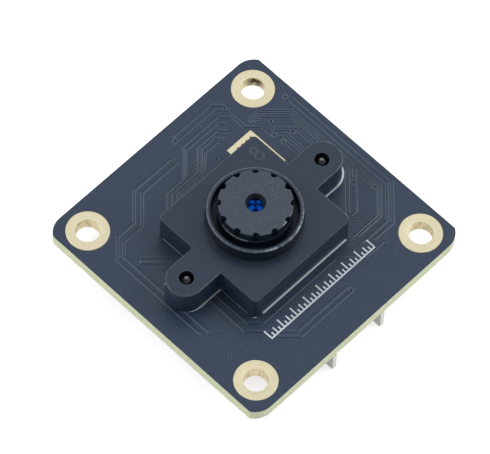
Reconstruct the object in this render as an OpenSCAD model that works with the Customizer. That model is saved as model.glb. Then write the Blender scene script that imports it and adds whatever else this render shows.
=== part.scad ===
// Board camera module: a square circuit board with a moulded lens holder, a
// screw-in lens over an image sensor, and a side-entry cable header underneath.
// Millimetres. The origin is the centre of the four mounting holes, on the
// board's top face. +Z points the way the lens looks, and the cable header
// opens towards -Y.

/* [Board] */
// Distance from a mounting hole's centre to the nearest scored edge, along X
margin_x = 3.15; // [2.8:0.05:6]
// Distance from a mounting hole's centre to the nearest routed edge, along Y
margin_y = 3.3; // [2.8:0.05:6]
// Thickness of the board
board_t = 1.6; // [0.8:0.1:2.4]
// Radius of the routed corners
corner_r = 2.5; // [1:0.1:3]
// How far each scored edge trims the rounded outline
edge_trim = 0.4; // [0.1:0.1:0.6]

/* [Mounting holes] */
// Distance between the mounting holes, along X and along Y
hole_pitch = 25.4; // [24.4:0.1:30]
// Diameter of the plated mounting holes
hole_d = 2.7; // [2:0.1:3.2]
// Diameter of the ring-shaped pads round the mounting holes
hole_pad_d = 4.8; // [4:0.1:5.2]
// Thickness of the metal that lines each hole
plating_t = 0.05; // [0.03:0.01:0.08]
// Height of the pads above the board's faces
pad_t = 0.04; // [0.03:0.01:0.08]

/* [Lens holder] */
// Where the lens axis crosses the board along X
lens_x = -0.25; // [-0.5:0.05:0.5]
// Where the lens axis crosses the board along Y
lens_y = -0.15; // [-0.5:0.05:0.5]
// Side of the holder's square body
holder_w = 14.7; // [13.8:0.1:15.6]
// Height of the holder's body above the board
holder_h = 3.6; // [3.2:0.1:4.4]
// Radius of the body's upright corners
holder_corner_r = 0.6; // [0.3:0.1:1.2]
// Bevel round the body's top edge
top_bevel = 0.1; // [0.05:0.01:0.2]
// Thickness of the body's side walls
wall_t = 1.3; // [0.8:0.1:1.8]
// Thickness of the body's roof
roof_t = 1.5; // [1:0.1:1.8]
// Width of the two screw ears
ear_w = 4.3; // [3.6:0.1:5]
// How far the centre of each ear's round end lies beyond its screw
ear_lead = 0.15; // [0:0.05:0.3]
// Outer diameter of the round collar
collar_d = 10.55; // [10.3:0.05:12]
// Height of the collar above the body
collar_h = 1.9; // [1.5:0.1:2.6]
// Thickness of the collar's wall round its wide mouth
rim_w = 0.48; // [0.4:0.02:0.7]
// Depth of the wide mouth
mouth_depth = 1.2; // [0.8:0.1:1.4]
// Nominal diameter of the lens thread
thread_d = 7; // [6.4:0.1:7.4]
// Radial play between the lens and its threaded bore
thread_play = 0.05; // [0.02:0.01:0.1]

/* [Holder screws] */
// Distance from the lens axis to each screw
screw_reach = 10.35; // [10.1:0.05:10.6]
// Outer diameter of the self-tapping screws
screw_d = 1.6; // [1.2:0.1:1.8]
// Length of a screw under its head
screw_l = 5; // [4.4:0.1:5.2]
// Length of the blunt point
screw_point = 0.5; // [0.3:0.1:0.8]
// Diameter of a screw head
screw_head_d = 2.8; // [2.4:0.1:3.2]
// Height of a screw head
screw_head_h = 0.95; // [0.7:0.05:1.2]
// Radial play of a screw in the ear and in the board
screw_play = 0.03; // [0.02:0.01:0.08]

/* [Filter] */
// Side of the square infrared-cut filter
filter_w = 8; // [7.6:0.1:9]
// Thickness of the filter
filter_t = 0.3; // [0.2:0.05:0.5]
// Gap round the filter in its recess
filter_play = 0.1; // [0.05:0.01:0.2]

/* [Lens] */
// Diameter of the ring at the foot of the lens's grip flange
flange_d = 8.2; // [7.8:0.1:8.6]
// Height of the flange
flange_h = 1.9; // [1.6:0.1:2.2]
// Height of the notched part of the flange
grip_h = 1.25; // [0.8:0.05:1.4]
// How far the notched part is set in from the ring at its foot
grip_step = 0.07; // [0.03:0.01:0.15]
// Number of notches round the flange
notch_count = 12; // [6:1:16]
// Radius of each notch
notch_r = 0.38; // [0.25:0.01:0.5]
// Bevel round the flange's front edge
flange_bevel = 0.08; // [0.04:0.01:0.15]
// Diameter of the front opening at the face
opening_d = 2.25; // [2:0.05:2.6]
// Diameter of the front opening at the glass
throat_d = 1.7; // [1.4:0.05:1.9]
// Depth of the front opening
opening_depth = 0.5; // [0.3:0.05:0.8]
// Diameter of the front lens element
element_d = 2.6; // [2.4:0.1:3]
// Growth in diameter from each element to the one behind it
element_step = 0.8; // [0.6:0.05:0.9]
// Thickness of each element at its rim
element_t = 0.7; // [0.6:0.05:0.8]
// Thickness of the spacer rings between the elements
spacer_t = 0.15; // [0.1:0.01:0.2]
// Radial width of the spacer rings and of the retaining ring
spacer_w = 0.35; // [0.2:0.05:0.4]
// Thickness of the ring that holds the elements in
retainer_t = 0.45; // [0.3:0.05:0.6]
// Height of an element's dome above its rim
dome = 0.1; // [0.05:0.01:0.15]
// Depth of the barrel behind the retaining ring
barrel_skirt = 0.1; // [0.05:0.05:0.3]
// Radial play of the elements in the barrel
element_play = 0.02; // [0.01:0.01:0.05]
// Gap between the barrel and the filter
focus_gap = 0.3; // [0.2:0.05:0.5]

/* [Image sensor] */
// Size of the sensor package along X
sensor_x = 5.6; // [4.8:0.1:6.4]
// Size of the sensor package along Y
sensor_y = 4.9; // [4.4:0.1:5.6]
// Thickness of the sensor's silicon
sensor_t = 0.35; // [0.2:0.05:0.5]
// Thickness of the glass bonded on the sensor
cover_glass_t = 0.4; // [0.3:0.05:0.5]
// Height of the solder balls under the sensor
ball_h = 0.2; // [0.12:0.02:0.3]
// Diameter of the solder balls
ball_d = 0.3; // [0.2:0.02:0.4]
// Pitch of the solder balls
ball_pitch = 0.75; // [0.6:0.05:0.9]

/* [Cable header] */
// Number of contacts
contact_count = 6; // [4:1:7]
// Pitch of the contacts
contact_pitch = 1; // [0.9:0.05:1.1]
// Width of the housing beyond the first and last contact, on each side
header_side = 1.45; // [1.3:0.05:1.8]
// Height of the housing off the board
header_h = 2.65; // [2.4:0.05:3]
// Depth of the housing from its arms' ends to its back
header_depth = 4.2; // [3.9:0.1:4.8]
// Thickness of the arms at the two ends
arm_t = 0.55; // [0.4:0.05:0.7]
// How far the arms stand out in front of the rest
arm_reach = 1.4; // [1:0.1:1.6]
// Thickness of the housing's floor and roof
shell_t = 0.4; // [0.3:0.05:0.5]
// Thickness of the housing's back wall
back_t = 1.1; // [0.8:0.1:1.3]
// Where the middle of the header lies along X
header_x = -0.3; // [-1:0.1:1]
// How far the arms reach past the board's edge
header_overhang = 0.1; // [0:0.05:0.3]
// How far the contacts' tips stay behind the edge of the floor and roof
blade_setback = 0.4; // [0.2:0.05:0.6]
// Width of a contact
contact_w = 0.3; // [0.2:0.02:0.36]
// Thickness of a contact
contact_t = 0.2; // [0.15:0.01:0.25]
// Length of a contact's soldered foot behind the housing
foot_l = 0.8; // [0.6:0.1:1]
// Width of the solder tabs at the two ends
tab_w = 0.7; // [0.5:0.1:0.9]
// Length of the solder tabs
tab_l = 1.8; // [1.4:0.1:2.2]
// Distance from the arms' root to the solder tabs
tab_setback = 0.3; // [0.2:0.05:0.5]
// Height of a solder tab's leaf in the housing's end
tab_leaf_h = 1.3; // [1:0.1:1.5]

/* [Video processor] */
// Distance from a side's last terminal to the package's corner
cpu_corner = 0.75; // [0.7:0.05:1]
// Height of the processor
cpu_h = 0.85; // [0.75:0.05:1]
// Terminals along each side
cpu_pins = 12; // [9:1:13]
// Pitch of the terminals
cpu_pitch = 0.5; // [0.4:0.01:0.6]
// Length of a terminal
cpu_pin_l = 0.4; // [0.3:0.05:0.5]
// Width of a terminal
cpu_pin_w = 0.25; // [0.2:0.01:0.3]
// Thickness of a terminal
cpu_pin_t = 0.2; // [0.15:0.01:0.25]
// How far the terminals come out of the package's sides
cpu_pin_out = 0.02; // [0.01:0.01:0.05]
// Gap between the package and the board
cpu_standoff = 0.05; // [0.03:0.01:0.1]
// Gap between the terminals and the heat pad under the processor
cpu_pad_gap = 0.4; // [0.2:0.05:0.6]
// Diameter of the dimple at terminal one
cpu_dimple_d = 0.6; // [0.4:0.1:0.8]
// Distance from the package's sides to the middle of that dimple
cpu_dimple_in = 0.8; // [0.6:0.05:1]

/* [Flash memory] */
// Length of the flash memory's body
flash_x = 4.9; // [4.6:0.1:5.2]
// Width of the flash memory's body
flash_y = 3.9; // [3.6:0.1:4.2]
// Height of its top off the board
flash_h = 1.7; // [1.4:0.05:1.8]
// How far its leads reach out of the body
flash_reach = 1.05; // [0.9:0.05:1.2]
// Pitch of its leads
flash_pitch = 1.27; // [1.1:0.01:1.3]
// Width of a lead
flash_lead_w = 0.42; // [0.35:0.01:0.5]
// Thickness of a lead
flash_lead_t = 0.2; // [0.15:0.01:0.25]
// Length of a lead's soldered foot
flash_foot = 0.55; // [0.4:0.05:0.7]
// Gap between the body and the board
flash_standoff = 0.12; // [0.05:0.01:0.2]
// How far the body's sides slope in
flash_slope = 0.12; // [0.08:0.01:0.2]
// Diameter of the dimple at lead one
flash_dimple_d = 0.7; // [0.5:0.1:0.9]
// Distance from the body's sides to the middle of that dimple
flash_dimple_in = 0.85; // [0.7:0.05:1]
// Depth of the dimples in moulded bodies
dimple_depth = 0.05; // [0.03:0.01:0.1]

/* [Regulators and surge protector] */
// Length of a small five-lead body
sot_x = 2.9; // [2.7:0.1:3.1]
// Width of a small five-lead body
sot_y = 1.6; // [1.4:0.1:1.8]
// Height of its top off the board
sot_h = 1.15; // [1:0.05:1.3]
// How far its leads reach out of the body
sot_reach = 0.6; // [0.5:0.05:0.8]
// Pitch of its leads
sot_pitch = 0.95; // [0.9:0.01:1]
// Width of a lead
sot_lead_w = 0.4; // [0.3:0.01:0.5]
// Thickness of a lead
sot_lead_t = 0.15; // [0.1:0.01:0.2]
// Length of a lead's soldered foot
sot_foot = 0.3; // [0.2:0.05:0.4]
// Gap between a body and the board
sot_standoff = 0.1; // [0.05:0.01:0.15]
// How far a body's sides slope in
sot_slope = 0.08; // [0.05:0.01:0.12]

/* [Crystal] */
// Length of the crystal's ceramic base
crystal_x = 3.2; // [2.8:0.1:3.6]
// Width of the crystal's ceramic base
crystal_y = 2.5; // [2.2:0.1:2.8]
// Height of the ceramic base
crystal_base_h = 0.45; // [0.3:0.05:0.6]
// Height of the metal lid on it
crystal_lid_h = 0.3; // [0.2:0.05:0.4]
// Margin of the base round the lid
crystal_rim = 0.15; // [0.1:0.01:0.25]

/* [Bulk capacitor] */
// Length of the moulded bulk capacitor
bulk_x = 3.2; // [3:0.1:3.5]
// Width of the bulk capacitor
bulk_y = 1.6; // [1.4:0.1:1.8]
// Height of its top off the board
bulk_h = 1.6; // [1.4:0.1:1.7]
// Thickness of its metal straps
bulk_strap_t = 0.12; // [0.08:0.01:0.15]
// Width of a strap
bulk_strap_w = 1.2; // [1:0.1:1.3]
// Height of a strap up the capacitor's end
bulk_strap_h = 0.8; // [0.6:0.1:1]
// Length of a strap's foot under the capacitor
bulk_foot = 0.8; // [0.6:0.1:1]

/* [Chip parts] */
// Length of a small chip capacitor or resistor
chip_l = 1; // [0.9:0.05:1.1]
// Width of a small chip part
chip_w = 0.5; // [0.4:0.05:0.55]
// Height of a small chip capacitor
chip_h = 0.5; // [0.4:0.05:0.6]
// Height of a small chip resistor
resistor_h = 0.35; // [0.25:0.05:0.4]
// Length of the metal cap on each end of a chip part
cap_l = 0.22; // [0.15:0.01:0.25]
// Gap between a chip part's ceramic and the board
chip_lift = 0.02; // [0.01:0.01:0.05]
// Length of a ferrite bead
bead_l = 1.6; // [1.4:0.1:1.8]
// Width and height of a ferrite bead
bead_w = 0.8; // [0.7:0.05:0.9]

/* [Ground pad] */
// Outer corner of the bare pad beside the holder, along X
ground_x = 8.77; // [8.6:0.01:9]
// Outer corner of the bare pad, along Y
ground_y = 9.2; // [9.1:0.05:9.6]
// Length of the pad's arm along X
ground_arm_x = 3.67; // [3:0.01:4.5]
// Length of the pad's arm along Y
ground_arm_y = 5.35; // [4:0.05:6]
// Width of the pad's two arms
ground_w = 1.3; // [1:0.1:1.6]
// Diameter of the plated vias in the pad
via_d = 0.28; // [0.2:0.02:0.36]
// Pitch of the row of vias
via_pitch = 0.65; // [0.5:0.05:0.8]

/* [Test pads] */
// Distance from the board's edge to the row of test pads
test_margin = 2.2; // [1.5:0.1:2.4]
// Diameter of the round test pads
test_pad_d = 1; // [0.8:0.1:1.2]
// Pitch of the test pads
test_pitch = 1.6; // [1.4:0.1:2]
// Number of test pads
test_count = 5; // [3:1:6]

/* [Hidden] */
$fn = 64;
EPS = 0.01;                       // overshoot that lets a cut run clear of a face

LAST = 3;                         // index of the rear lens element, from 0 at the front

// Clearance from the processor's sides to the capacitors round it
CPU_RING = 1.4;

// Places of the small parts on the underside: [x, y, turn about Z].
// Round the middle of the board:
CPU_AT = [-1.5, 1.5, 0];
CRYSTAL_AT = [-8.2, 6.4, 90];
MIDDLE_REGULATORS = [[7.6, 5.2, 90], [5.8, -5, 0]];
MIDDLE_CAPACITORS = [
    [10.2, 4.4, 90], [10.2, 6.2, 90], [8.6, -5, 90], [-11.2, 5.6, 90],
    [-11.2, 7.4, 90], [-10.6, -6.2, 90], [0.6, -6.8, 0]];
MIDDLE_RESISTORS = [
    [-6.8, -3.6, 0], [-6.8, -4.8, 0], [-6.8, -6, 0], [-1.8, -5.4, 0],
    [-1.8, -6.6, 0], [3, -5.6, 90]];
// Counted from the processor's middle, along each side: [side, place along it]
CPU_CAPACITORS = [[0, 2.1], [0, -0.1], [0, -2.3], [2, -2.3], [2, -0.7], [2, 2.3],
    [3, 2.5], [3, 0.9], [3, -2.5], [1, 1.7], [1, -0.5]];
// Counted from the middle of the header's back:
BULK_FROM_HEADER = [7.7, 2.7, 90];
PROTECTOR_FROM_HEADER = [-6.3, 1.7, 90];
HEADER_BEADS = [[-9.3, -0.7, 90], [-7.3, -1.7, 0], [6.1, -1.5, 90]];
HEADER_CAPACITORS = [[3.7, 2.3, 90]];
HEADER_RESISTORS = [
    [-3.1, 2.3, 90], [-2.1, 2.3, 90], [-1.1, 2.3, 90], [1.7, 2.3, 90],
    [2.7, 2.3, 90], [-9.1, 3.5, 0]];
// Counted from the middle of the board's edge at +Y:
FLASH_FROM_EDGE = [2.6, -5.5, 0];
REGULATOR_FROM_EDGE = [-4.8, -5.8, 0];
EDGE_CAPACITORS = [[6.4, -8, 0], [-4.8, -3.1, 0], [-7.4, -3.8, 90]];
EDGE_RESISTORS = [[7.6, -5.6, 90], [8.8, -5.6, 90]];

// Board
board_x = hole_pitch + 2 * margin_x;
board_y = hole_pitch + 2 * margin_y;
drill_d = hole_d + 2 * plating_t;
screw_hole_d = screw_d + 2 * screw_play;

// Lens holder
ear_reach = screw_reach + ear_lead;
mouth_d = collar_d - 2 * rim_w;

// Levels above the board's top face
roof_z = holder_h - roof_t;
filter_z = roof_z;
filter_top_z = filter_z + filter_t;
rim_z = holder_h + collar_h;
mouth_z = rim_z - mouth_depth;
barrel_z = filter_top_z + focus_gap;
seat_z = barrel_z + barrel_skirt + retainer_t + element_t
    + LAST * (element_t + spacer_t);
lens_top_z = seat_z + opening_depth;
flange_z = lens_top_z - flange_h;
grip_z = lens_top_z - grip_h;
grip_r = flange_d / 2 - grip_step;
facing_dome = 0.3 * spacer_t;     // domes that face each other clear across a spacer

// Cable header
header_w = (contact_count - 1) * contact_pitch + 2 * header_side;
header_front_y = -board_y / 2 - header_overhang;
contact_z = header_h / 2;
contact_reach = header_depth - back_t - arm_reach - blade_setback;
header_back_y = header_front_y + header_depth;

// Video processor
cpu_w = (cpu_pins - 1) * cpu_pitch + 2 * cpu_corner;
cpu_pad_w = cpu_w - 2 * (cpu_pin_l + cpu_pad_gap);

// Places of all small parts, in the board's frame
function from_header(p) = [header_x + p[0], header_back_y + p[1], p[2]];
function from_edge(p) = [p[0], board_y / 2 + p[1], p[2]];
function beside_cpu(p) =
    let (turn = 90 * p[0], out = cpu_w / 2 + CPU_RING)
    [CPU_AT[0] + out * cos(turn) - p[1] * sin(turn),
     CPU_AT[1] + out * sin(turn) + p[1] * cos(turn), turn + 90];
FLASH_AT = from_edge(FLASH_FROM_EDGE);
BULK_AT = from_header(BULK_FROM_HEADER);
PROTECTOR_AT = from_header(PROTECTOR_FROM_HEADER);
REGULATORS_AT = concat(MIDDLE_REGULATORS, [from_edge(REGULATOR_FROM_EDGE)]);
BEADS_AT = [for (p = HEADER_BEADS) from_header(p)];
CAPACITORS_AT = concat(MIDDLE_CAPACITORS,
    [for (p = CPU_CAPACITORS) beside_cpu(p)],
    [for (p = HEADER_CAPACITORS) from_header(p)],
    [for (p = EDGE_CAPACITORS) from_edge(p)]);
RESISTORS_AT = concat(MIDDLE_RESISTORS,
    [for (p = HEADER_RESISTORS) from_header(p)],
    [for (p = EDGE_RESISTORS) from_edge(p)]);

// ---- Placing helpers ----

// Puts a part on the lens axis
module on_lens_axis(z = 0) {
    translate([lens_x, lens_y, z]) children();
}

// Turns a part that stands on z = 0 so that it hangs under the board
module under_board() {
    translate([0, 0, -board_t]) mirror([0, 0, 1]) children();
}

// Puts a part at a place [x, y, turn]
module at(place) {
    translate([place[0], place[1], 0]) rotate([0, 0, place[2]]) children();
}

module at_mounting_holes() {
    for (sx = [-1, 1], sy = [-1, 1])
        translate([sx * hole_pitch / 2, sy * hole_pitch / 2, 0]) children();
}

module at_holder_screws() {
    for (s = [-1, 1])
        translate([lens_x + s * screw_reach, lens_y, 0]) children();
}

// ---- Shape helpers ----

module block(x, y, z0, z1) {
    translate([-x / 2, -y / 2, z0]) cube([x, y, z1 - z0]);
}

module disc(d, z0, z1) {
    translate([0, 0, z0]) cylinder(d = d, h = z1 - z0);
}

module rounded_rect(x, y, r) {
    square([x - 2 * r, y], center = true);
    square([x, y - 2 * r], center = true);
    for (sx = [-1, 1], sy = [-1, 1])
        translate([sx * (x / 2 - r), sy * (y / 2 - r)]) circle(r);
}

// Upright post with a bevelled top edge
module bevelled_post(r, h, bevel) {
    cylinder(r = r, h = h - bevel, $fn = 32);
    translate([0, 0, h - bevel])
        cylinder(r1 = r, r2 = r - bevel, h = bevel, $fn = 32);
}

// One gull-wing lead that leaves a body's side at x = 0 and stands on z = 0
module gull_lead(reach, exit_z, w, t, foot) {
    knee = reach - foot;
    translate([0, w / 2, 0]) rotate([90, 0, 0]) linear_extrude(w)
        polygon([[0, exit_z], [0, exit_z + t], [knee * 0.6, exit_z + t],
                 [knee + t, t], [reach, t], [reach, 0], [knee, 0],
                 [knee * 0.35, exit_z]]);
}

// Two rows of gull-wing leads, to -Y and to +Y of a body
module lead_rows(body, reach, exit_z, w, t, foot, xs_front, xs_back) {
    for (x = xs_front)
        translate([x, -body / 2, 0]) rotate([0, 0, -90])
            gull_lead(reach, exit_z, w, t, foot);
    for (x = xs_back)
        translate([x, body / 2, 0]) rotate([0, 0, 90])
            gull_lead(reach, exit_z, w, t, foot);
}

// Moulded body whose sides slope in above and below the lead frame
module moulded_body(x, y, z0, zm, z1, slope) {
    rotate([90, 0, 90]) translate([0, 0, -x / 2]) linear_extrude(x)
        polygon([[-y / 2 + slope, z0], [-y / 2, zm - slope / 2],
                 [-y / 2, zm + slope / 2], [-y / 2 + slope, z1],
                 [y / 2 - slope, z1], [y / 2, zm + slope / 2],
                 [y / 2, zm - slope / 2], [y / 2 - slope, z0]]);
}

// ---- Board and its metal ----

module board_outline() {
    intersection() {
        rounded_rect(board_x + 2 * edge_trim, board_y, corner_r);
        square([board_x, board_y], center = true);
    }
}

// Centres of the vias in the bare pad's arm along X
function ground_vias() =
    let (n = floor((ground_arm_x - via_pitch) / via_pitch))
    [for (i = [1 : n]) [ground_x - i * via_pitch, ground_y - ground_w / 2]];

module circuit_board() {
    color([0.27, 0.31, 0.38]) difference() {
        translate([0, 0, -board_t]) linear_extrude(board_t) board_outline();
        at_mounting_holes() disc(drill_d, -board_t - EPS, EPS);
        at_holder_screws() disc(screw_hole_d, -board_t - EPS, EPS);
        for (v = ground_vias())
            translate([v[0], v[1], 0]) disc(via_d, -board_t - EPS, EPS);
    }
}

// Plated sleeve with a flat ring on each face of the board
module mounting_hole_plating() {
    color([0.88, 0.84, 0.68]) at_mounting_holes() difference() {
        union() {
            disc(hole_pad_d, 0, pad_t);
            disc(hole_pad_d, -board_t - pad_t, -board_t);
            disc(drill_d, -board_t, 0);
        }
        disc(hole_d, -board_t - pad_t - EPS, pad_t + EPS);
    }
}

// L-shaped bare pad beside the holder, with its row of vias
module ground_pad() {
    color([0.88, 0.84, 0.68]) difference() {
        union() {
            translate([ground_x - ground_arm_x, ground_y - ground_w, 0])
                cube([ground_arm_x, ground_w, pad_t]);
            translate([ground_x - ground_w, ground_y - ground_arm_y, 0])
                cube([ground_w, ground_arm_y, pad_t]);
        }
        for (v = ground_vias())
            translate([v[0], v[1], 0]) disc(via_d, -EPS, pad_t + EPS);
        on_lens_axis() block(holder_w, holder_w, -EPS, pad_t + EPS);
    }
}

module test_pads() {
    color([0.88, 0.84, 0.68]) under_board() for (i = [0 : test_count - 1])
        translate([-board_x / 2 + test_margin, (i - (test_count - 1) / 2) * test_pitch, 0])
            disc(test_pad_d, 0, pad_t);
}

// ---- Lens holder ----

module holder_body() {
    c = holder_w / 2 - holder_corner_r;
    hull() for (sx = [-1, 1], sy = [-1, 1])
        translate([sx * c, sy * c, 0])
            bevelled_post(holder_corner_r, holder_h, top_bevel);
}

module holder_ears() {
    hull() for (s = [-1, 1])
        translate([s * ear_reach, 0, 0])
            bevelled_post(ear_w / 2, holder_h, top_bevel);
}

// Round collar with a softly rounded rim
module holder_collar() {
    r = collar_d / 2;
    soft = (collar_d - mouth_d) / 4;
    rotate_extrude() polygon(concat(
        [[0, holder_h - top_bevel], [r, holder_h - top_bevel], [r, rim_z - soft]],
        [for (a = [15 : 15 : 75])
            [r - soft + soft * cos(a), rim_z - soft + soft * sin(a)]],
        [[r - soft, rim_z], [0, rim_z]]));
}

module lens_holder() {
    color([0.17, 0.18, 0.21]) on_lens_axis() difference() {
        union() {
            holder_body();
            holder_ears();
            holder_collar();
        }
        block(holder_w - 2 * wall_t, holder_w - 2 * wall_t, -EPS, roof_z);
        block(filter_w + 2 * filter_play, filter_w + 2 * filter_play,
              roof_z - EPS, filter_top_z);
        disc(thread_d, filter_top_z - EPS, rim_z + EPS);
        disc(mouth_d, mouth_z, rim_z + EPS);
        for (s = [-1, 1])
            translate([s * screw_reach, 0, 0])
                disc(screw_hole_d, -EPS, holder_h + EPS);
    }
}

// Pan-head self-tapping screws, driven from under the board
module holder_screws() {
    head_z = -board_t;
    r = screw_d / 2;
    hr = screw_head_d / 2;
    slot = screw_head_h / 2;
    tip_z = head_z + screw_l;
    color([0.62, 0.62, 0.64]) at_holder_screws() difference() {
        rotate_extrude() polygon([
            [0, head_z - screw_head_h], [hr * 0.55, head_z - screw_head_h],
            [hr * 0.88, head_z - screw_head_h * 0.75],
            [hr, head_z - screw_head_h * 0.4], [hr, head_z], [r, head_z],
            [r, tip_z - screw_point], [r * 0.35, tip_z], [0, tip_z]]);
        for (turn = [0, 90])
            rotate([0, 0, turn])
                block(hr * 1.1, hr * 0.24, head_z - screw_head_h - EPS,
                      head_z - screw_head_h + slot);
    }
}

module ir_cut_filter() {
    color([0.55, 0.75, 0.8, 0.5]) on_lens_axis()
        block(filter_w, filter_w, filter_z, filter_top_z);
}

// ---- Lens ----

// Radius of element k's seat in the barrel, counted from the front
function seat_r(k) = (element_d + k * element_step) / 2;

// Level of the front rim of element k
function front_z(k) = seat_z - k * (element_t + spacer_t);

module lens_barrel() {
    color([0.3, 0.32, 0.36]) on_lens_axis() difference() {
        union() {
            disc(thread_d - 2 * thread_play, barrel_z, flange_z + EPS);
            disc(flange_d, flange_z, grip_z);
            disc(2 * grip_r, grip_z - EPS, lens_top_z - flange_bevel);
            translate([0, 0, lens_top_z - flange_bevel])
                cylinder(r1 = grip_r, r2 = grip_r - flange_bevel, h = flange_bevel);
        }
        for (i = [0 : notch_count - 1])
            rotate([0, 0, (i + 0.5) * 360 / notch_count])
                translate([grip_r, 0, 0])
                    disc(2 * notch_r, grip_z, lens_top_z + EPS);
        translate([0, 0, seat_z - EPS])
            cylinder(d1 = throat_d, d2 = opening_d, h = opening_depth + 2 * EPS);
        for (k = [0 : LAST])
            disc(2 * seat_r(k), k < LAST ? front_z(k + 1) : barrel_z - EPS,
                 front_z(k));
    }
}

// Outer radius of element k, and of the ring that stands behind it
function ring_r(k) = seat_r(k) - element_play;

// Glass with a flat rim and domed faces; a negative dome is hollow
module element(k, front_dome, back_dome) {
    r = ring_r(k);
    front_r = k == 0 ? throat_d / 2 - element_play : ring_r(k - 1) - spacer_w;
    back_r = r - spacer_w;
    z1 = front_z(k);
    z0 = z1 - element_t;
    steps = 8;
    on_lens_axis() rotate_extrude() polygon(concat(
        [for (i = [0 : steps])
            [back_r * i / steps, z0 - back_dome * (1 - pow(i / steps, 2))]],
        [[r, z0], [r, z1]],
        [for (i = [steps : -1 : 0])
            [front_r * i / steps, z1 + front_dome * (1 - pow(i / steps, 2))]]));
}

// Flat ring behind element k, from z0 to z1
module ring_behind(k, z0, z1) {
    difference() {
        disc(2 * ring_r(k), z0, z1);
        disc(2 * (ring_r(k) - spacer_w), z0 - EPS, z1 + EPS);
    }
}

module front_element() {
    color([0.1, 0.25, 0.65, 0.6]) element(0, 1.2 * dome, -dome);
}

module second_element() {
    color([0.7, 0.8, 0.85, 0.5]) element(1, -dome, facing_dome);
}

module third_element() {
    color([0.7, 0.8, 0.85, 0.5]) element(2, facing_dome, dome);
}

module rear_element() {
    color([0.7, 0.8, 0.85, 0.5]) element(3, -1.5 * dome, dome);
}

// Thin rings between the elements, each seated on the element behind it
module element_spacers() {
    color([0.12, 0.12, 0.13]) on_lens_axis() for (k = [0 : LAST - 1])
        ring_behind(k, front_z(k + 1), front_z(k + 1) + spacer_t);
}

module lens_retainer() {
    top = front_z(LAST) - element_t;
    color([0.12, 0.12, 0.13]) on_lens_axis() ring_behind(LAST, top - retainer_t, top);
}

// ---- Image sensor ----

module sensor_solder_balls() {
    nx = floor((sensor_x - ball_d) / ball_pitch);
    ny = floor((sensor_y - ball_d) / ball_pitch);
    color([0.75, 0.76, 0.78]) on_lens_axis() for (i = [0 : nx - 1], j = [0 : ny - 1])
        translate([(i - (nx - 1) / 2) * ball_pitch, (j - (ny - 1) / 2) * ball_pitch, 0])
            disc(ball_d, 0, ball_h);
}

module image_sensor() {
    color([0.16, 0.2, 0.24]) on_lens_axis()
        block(sensor_x, sensor_y, ball_h, ball_h + sensor_t);
}

module sensor_cover_glass() {
    color([0.7, 0.8, 0.8, 0.4]) on_lens_axis()
        block(sensor_x, sensor_y, ball_h + sensor_t,
              ball_h + sensor_t + cover_glass_t);
}

// ---- Cable header ----

// Puts a part in the header's frame: z = 0 on the board, y = 0 at the arms' ends
module in_header() {
    under_board() translate([header_x, header_front_y, 0]) children();
}

function contact_xs() = [for (i = [0 : contact_count - 1])
    (i - (contact_count - 1) / 2) * contact_pitch];

// Room for one contact: a blade in the mouth, a post through the back wall
// and a foot on the board behind it
module contact(grow = 0) {
    w = contact_w + 2 * grow;
    t = contact_t + 2 * grow;
    y_tip = header_depth - back_t - contact_reach;
    y_bend = header_depth + contact_t;
    translate([-w / 2, y_tip, contact_z - t / 2])
        cube([w, y_bend - y_tip, t]);
    translate([-w / 2, y_bend - t, 0]) cube([w, t, contact_z]);
    translate([-w / 2, y_bend - t, 0]) cube([w, foot_l, t]);
}

module header_housing() {
    mouth_w = header_w - 2 * arm_t;
    color([0.9, 0.89, 0.85]) in_header() difference() {
        translate([-header_w / 2, 0, 0]) cube([header_w, header_depth, header_h]);
        translate([-mouth_w / 2, -EPS, shell_t])
            cube([mouth_w, header_depth - back_t + EPS, header_h - 2 * shell_t]);
        translate([-mouth_w / 2, -EPS, -EPS])
            cube([mouth_w, arm_reach + EPS, header_h + 2 * EPS]);
        for (x = contact_xs()) translate([x, 0, 0]) contact();
        for (s = [-1, 1]) translate([s * header_w / 2, 0, 0]) tab(s);
    }
}

module header_contacts() {
    color([0.85, 0.8, 0.55]) in_header()
        for (x = contact_xs()) translate([x, 0, 0]) contact();
}

// Bent solder tab: an upright leaf let into the housing's end and a foot beside it
module tab(side) {
    t = contact_t;
    y0 = arm_reach + tab_setback;
    translate([side > 0 ? -t : 0, y0, 0]) cube([t, tab_l, tab_leaf_h]);
    translate([side > 0 ? -t : -tab_w, y0, 0]) cube([tab_w + t, tab_l, t]);
}

module header_solder_tabs() {
    color([0.75, 0.76, 0.78]) in_header()
        for (s = [-1, 1]) translate([s * header_w / 2, 0, 0]) tab(s);
}

// ---- Video processor ----

module processor_pins() {
    for (side = [0 : 3], i = [0 : cpu_pins - 1])
        rotate([0, 0, 90 * side])
            translate([cpu_w / 2 - cpu_pin_l, (i - (cpu_pins - 1) / 2) * cpu_pitch
                       - cpu_pin_w / 2, 0])
                cube([cpu_pin_l + cpu_pin_out, cpu_pin_w, cpu_pin_t]);
}

module video_processor() {
    color([0.13, 0.13, 0.14]) under_board() at(CPU_AT) difference() {
        block(cpu_w, cpu_w, cpu_standoff, cpu_h);
        processor_pins();
        translate([-cpu_w / 2 + cpu_dimple_in, cpu_w / 2 - cpu_dimple_in, 0])
            disc(cpu_dimple_d, cpu_h - dimple_depth, cpu_h + EPS);
    }
}

module processor_terminals() {
    color([0.75, 0.76, 0.78]) under_board() at(CPU_AT) {
        processor_pins();
        block(cpu_pad_w, cpu_pad_w, 0, cpu_standoff);
    }
}

// ---- Flash memory ----

flash_lead_z = flash_h / 2;

module flash_memory() {
    color([0.13, 0.13, 0.14]) under_board() at(FLASH_AT) difference() {
        moulded_body(flash_x, flash_y, flash_standoff, flash_lead_z, flash_h,
                     flash_slope);
        translate([-flash_x / 2 + flash_dimple_in, -flash_y / 2 + flash_dimple_in, 0])
            disc(flash_dimple_d, flash_h - dimple_depth, flash_h + EPS);
    }
}

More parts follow.
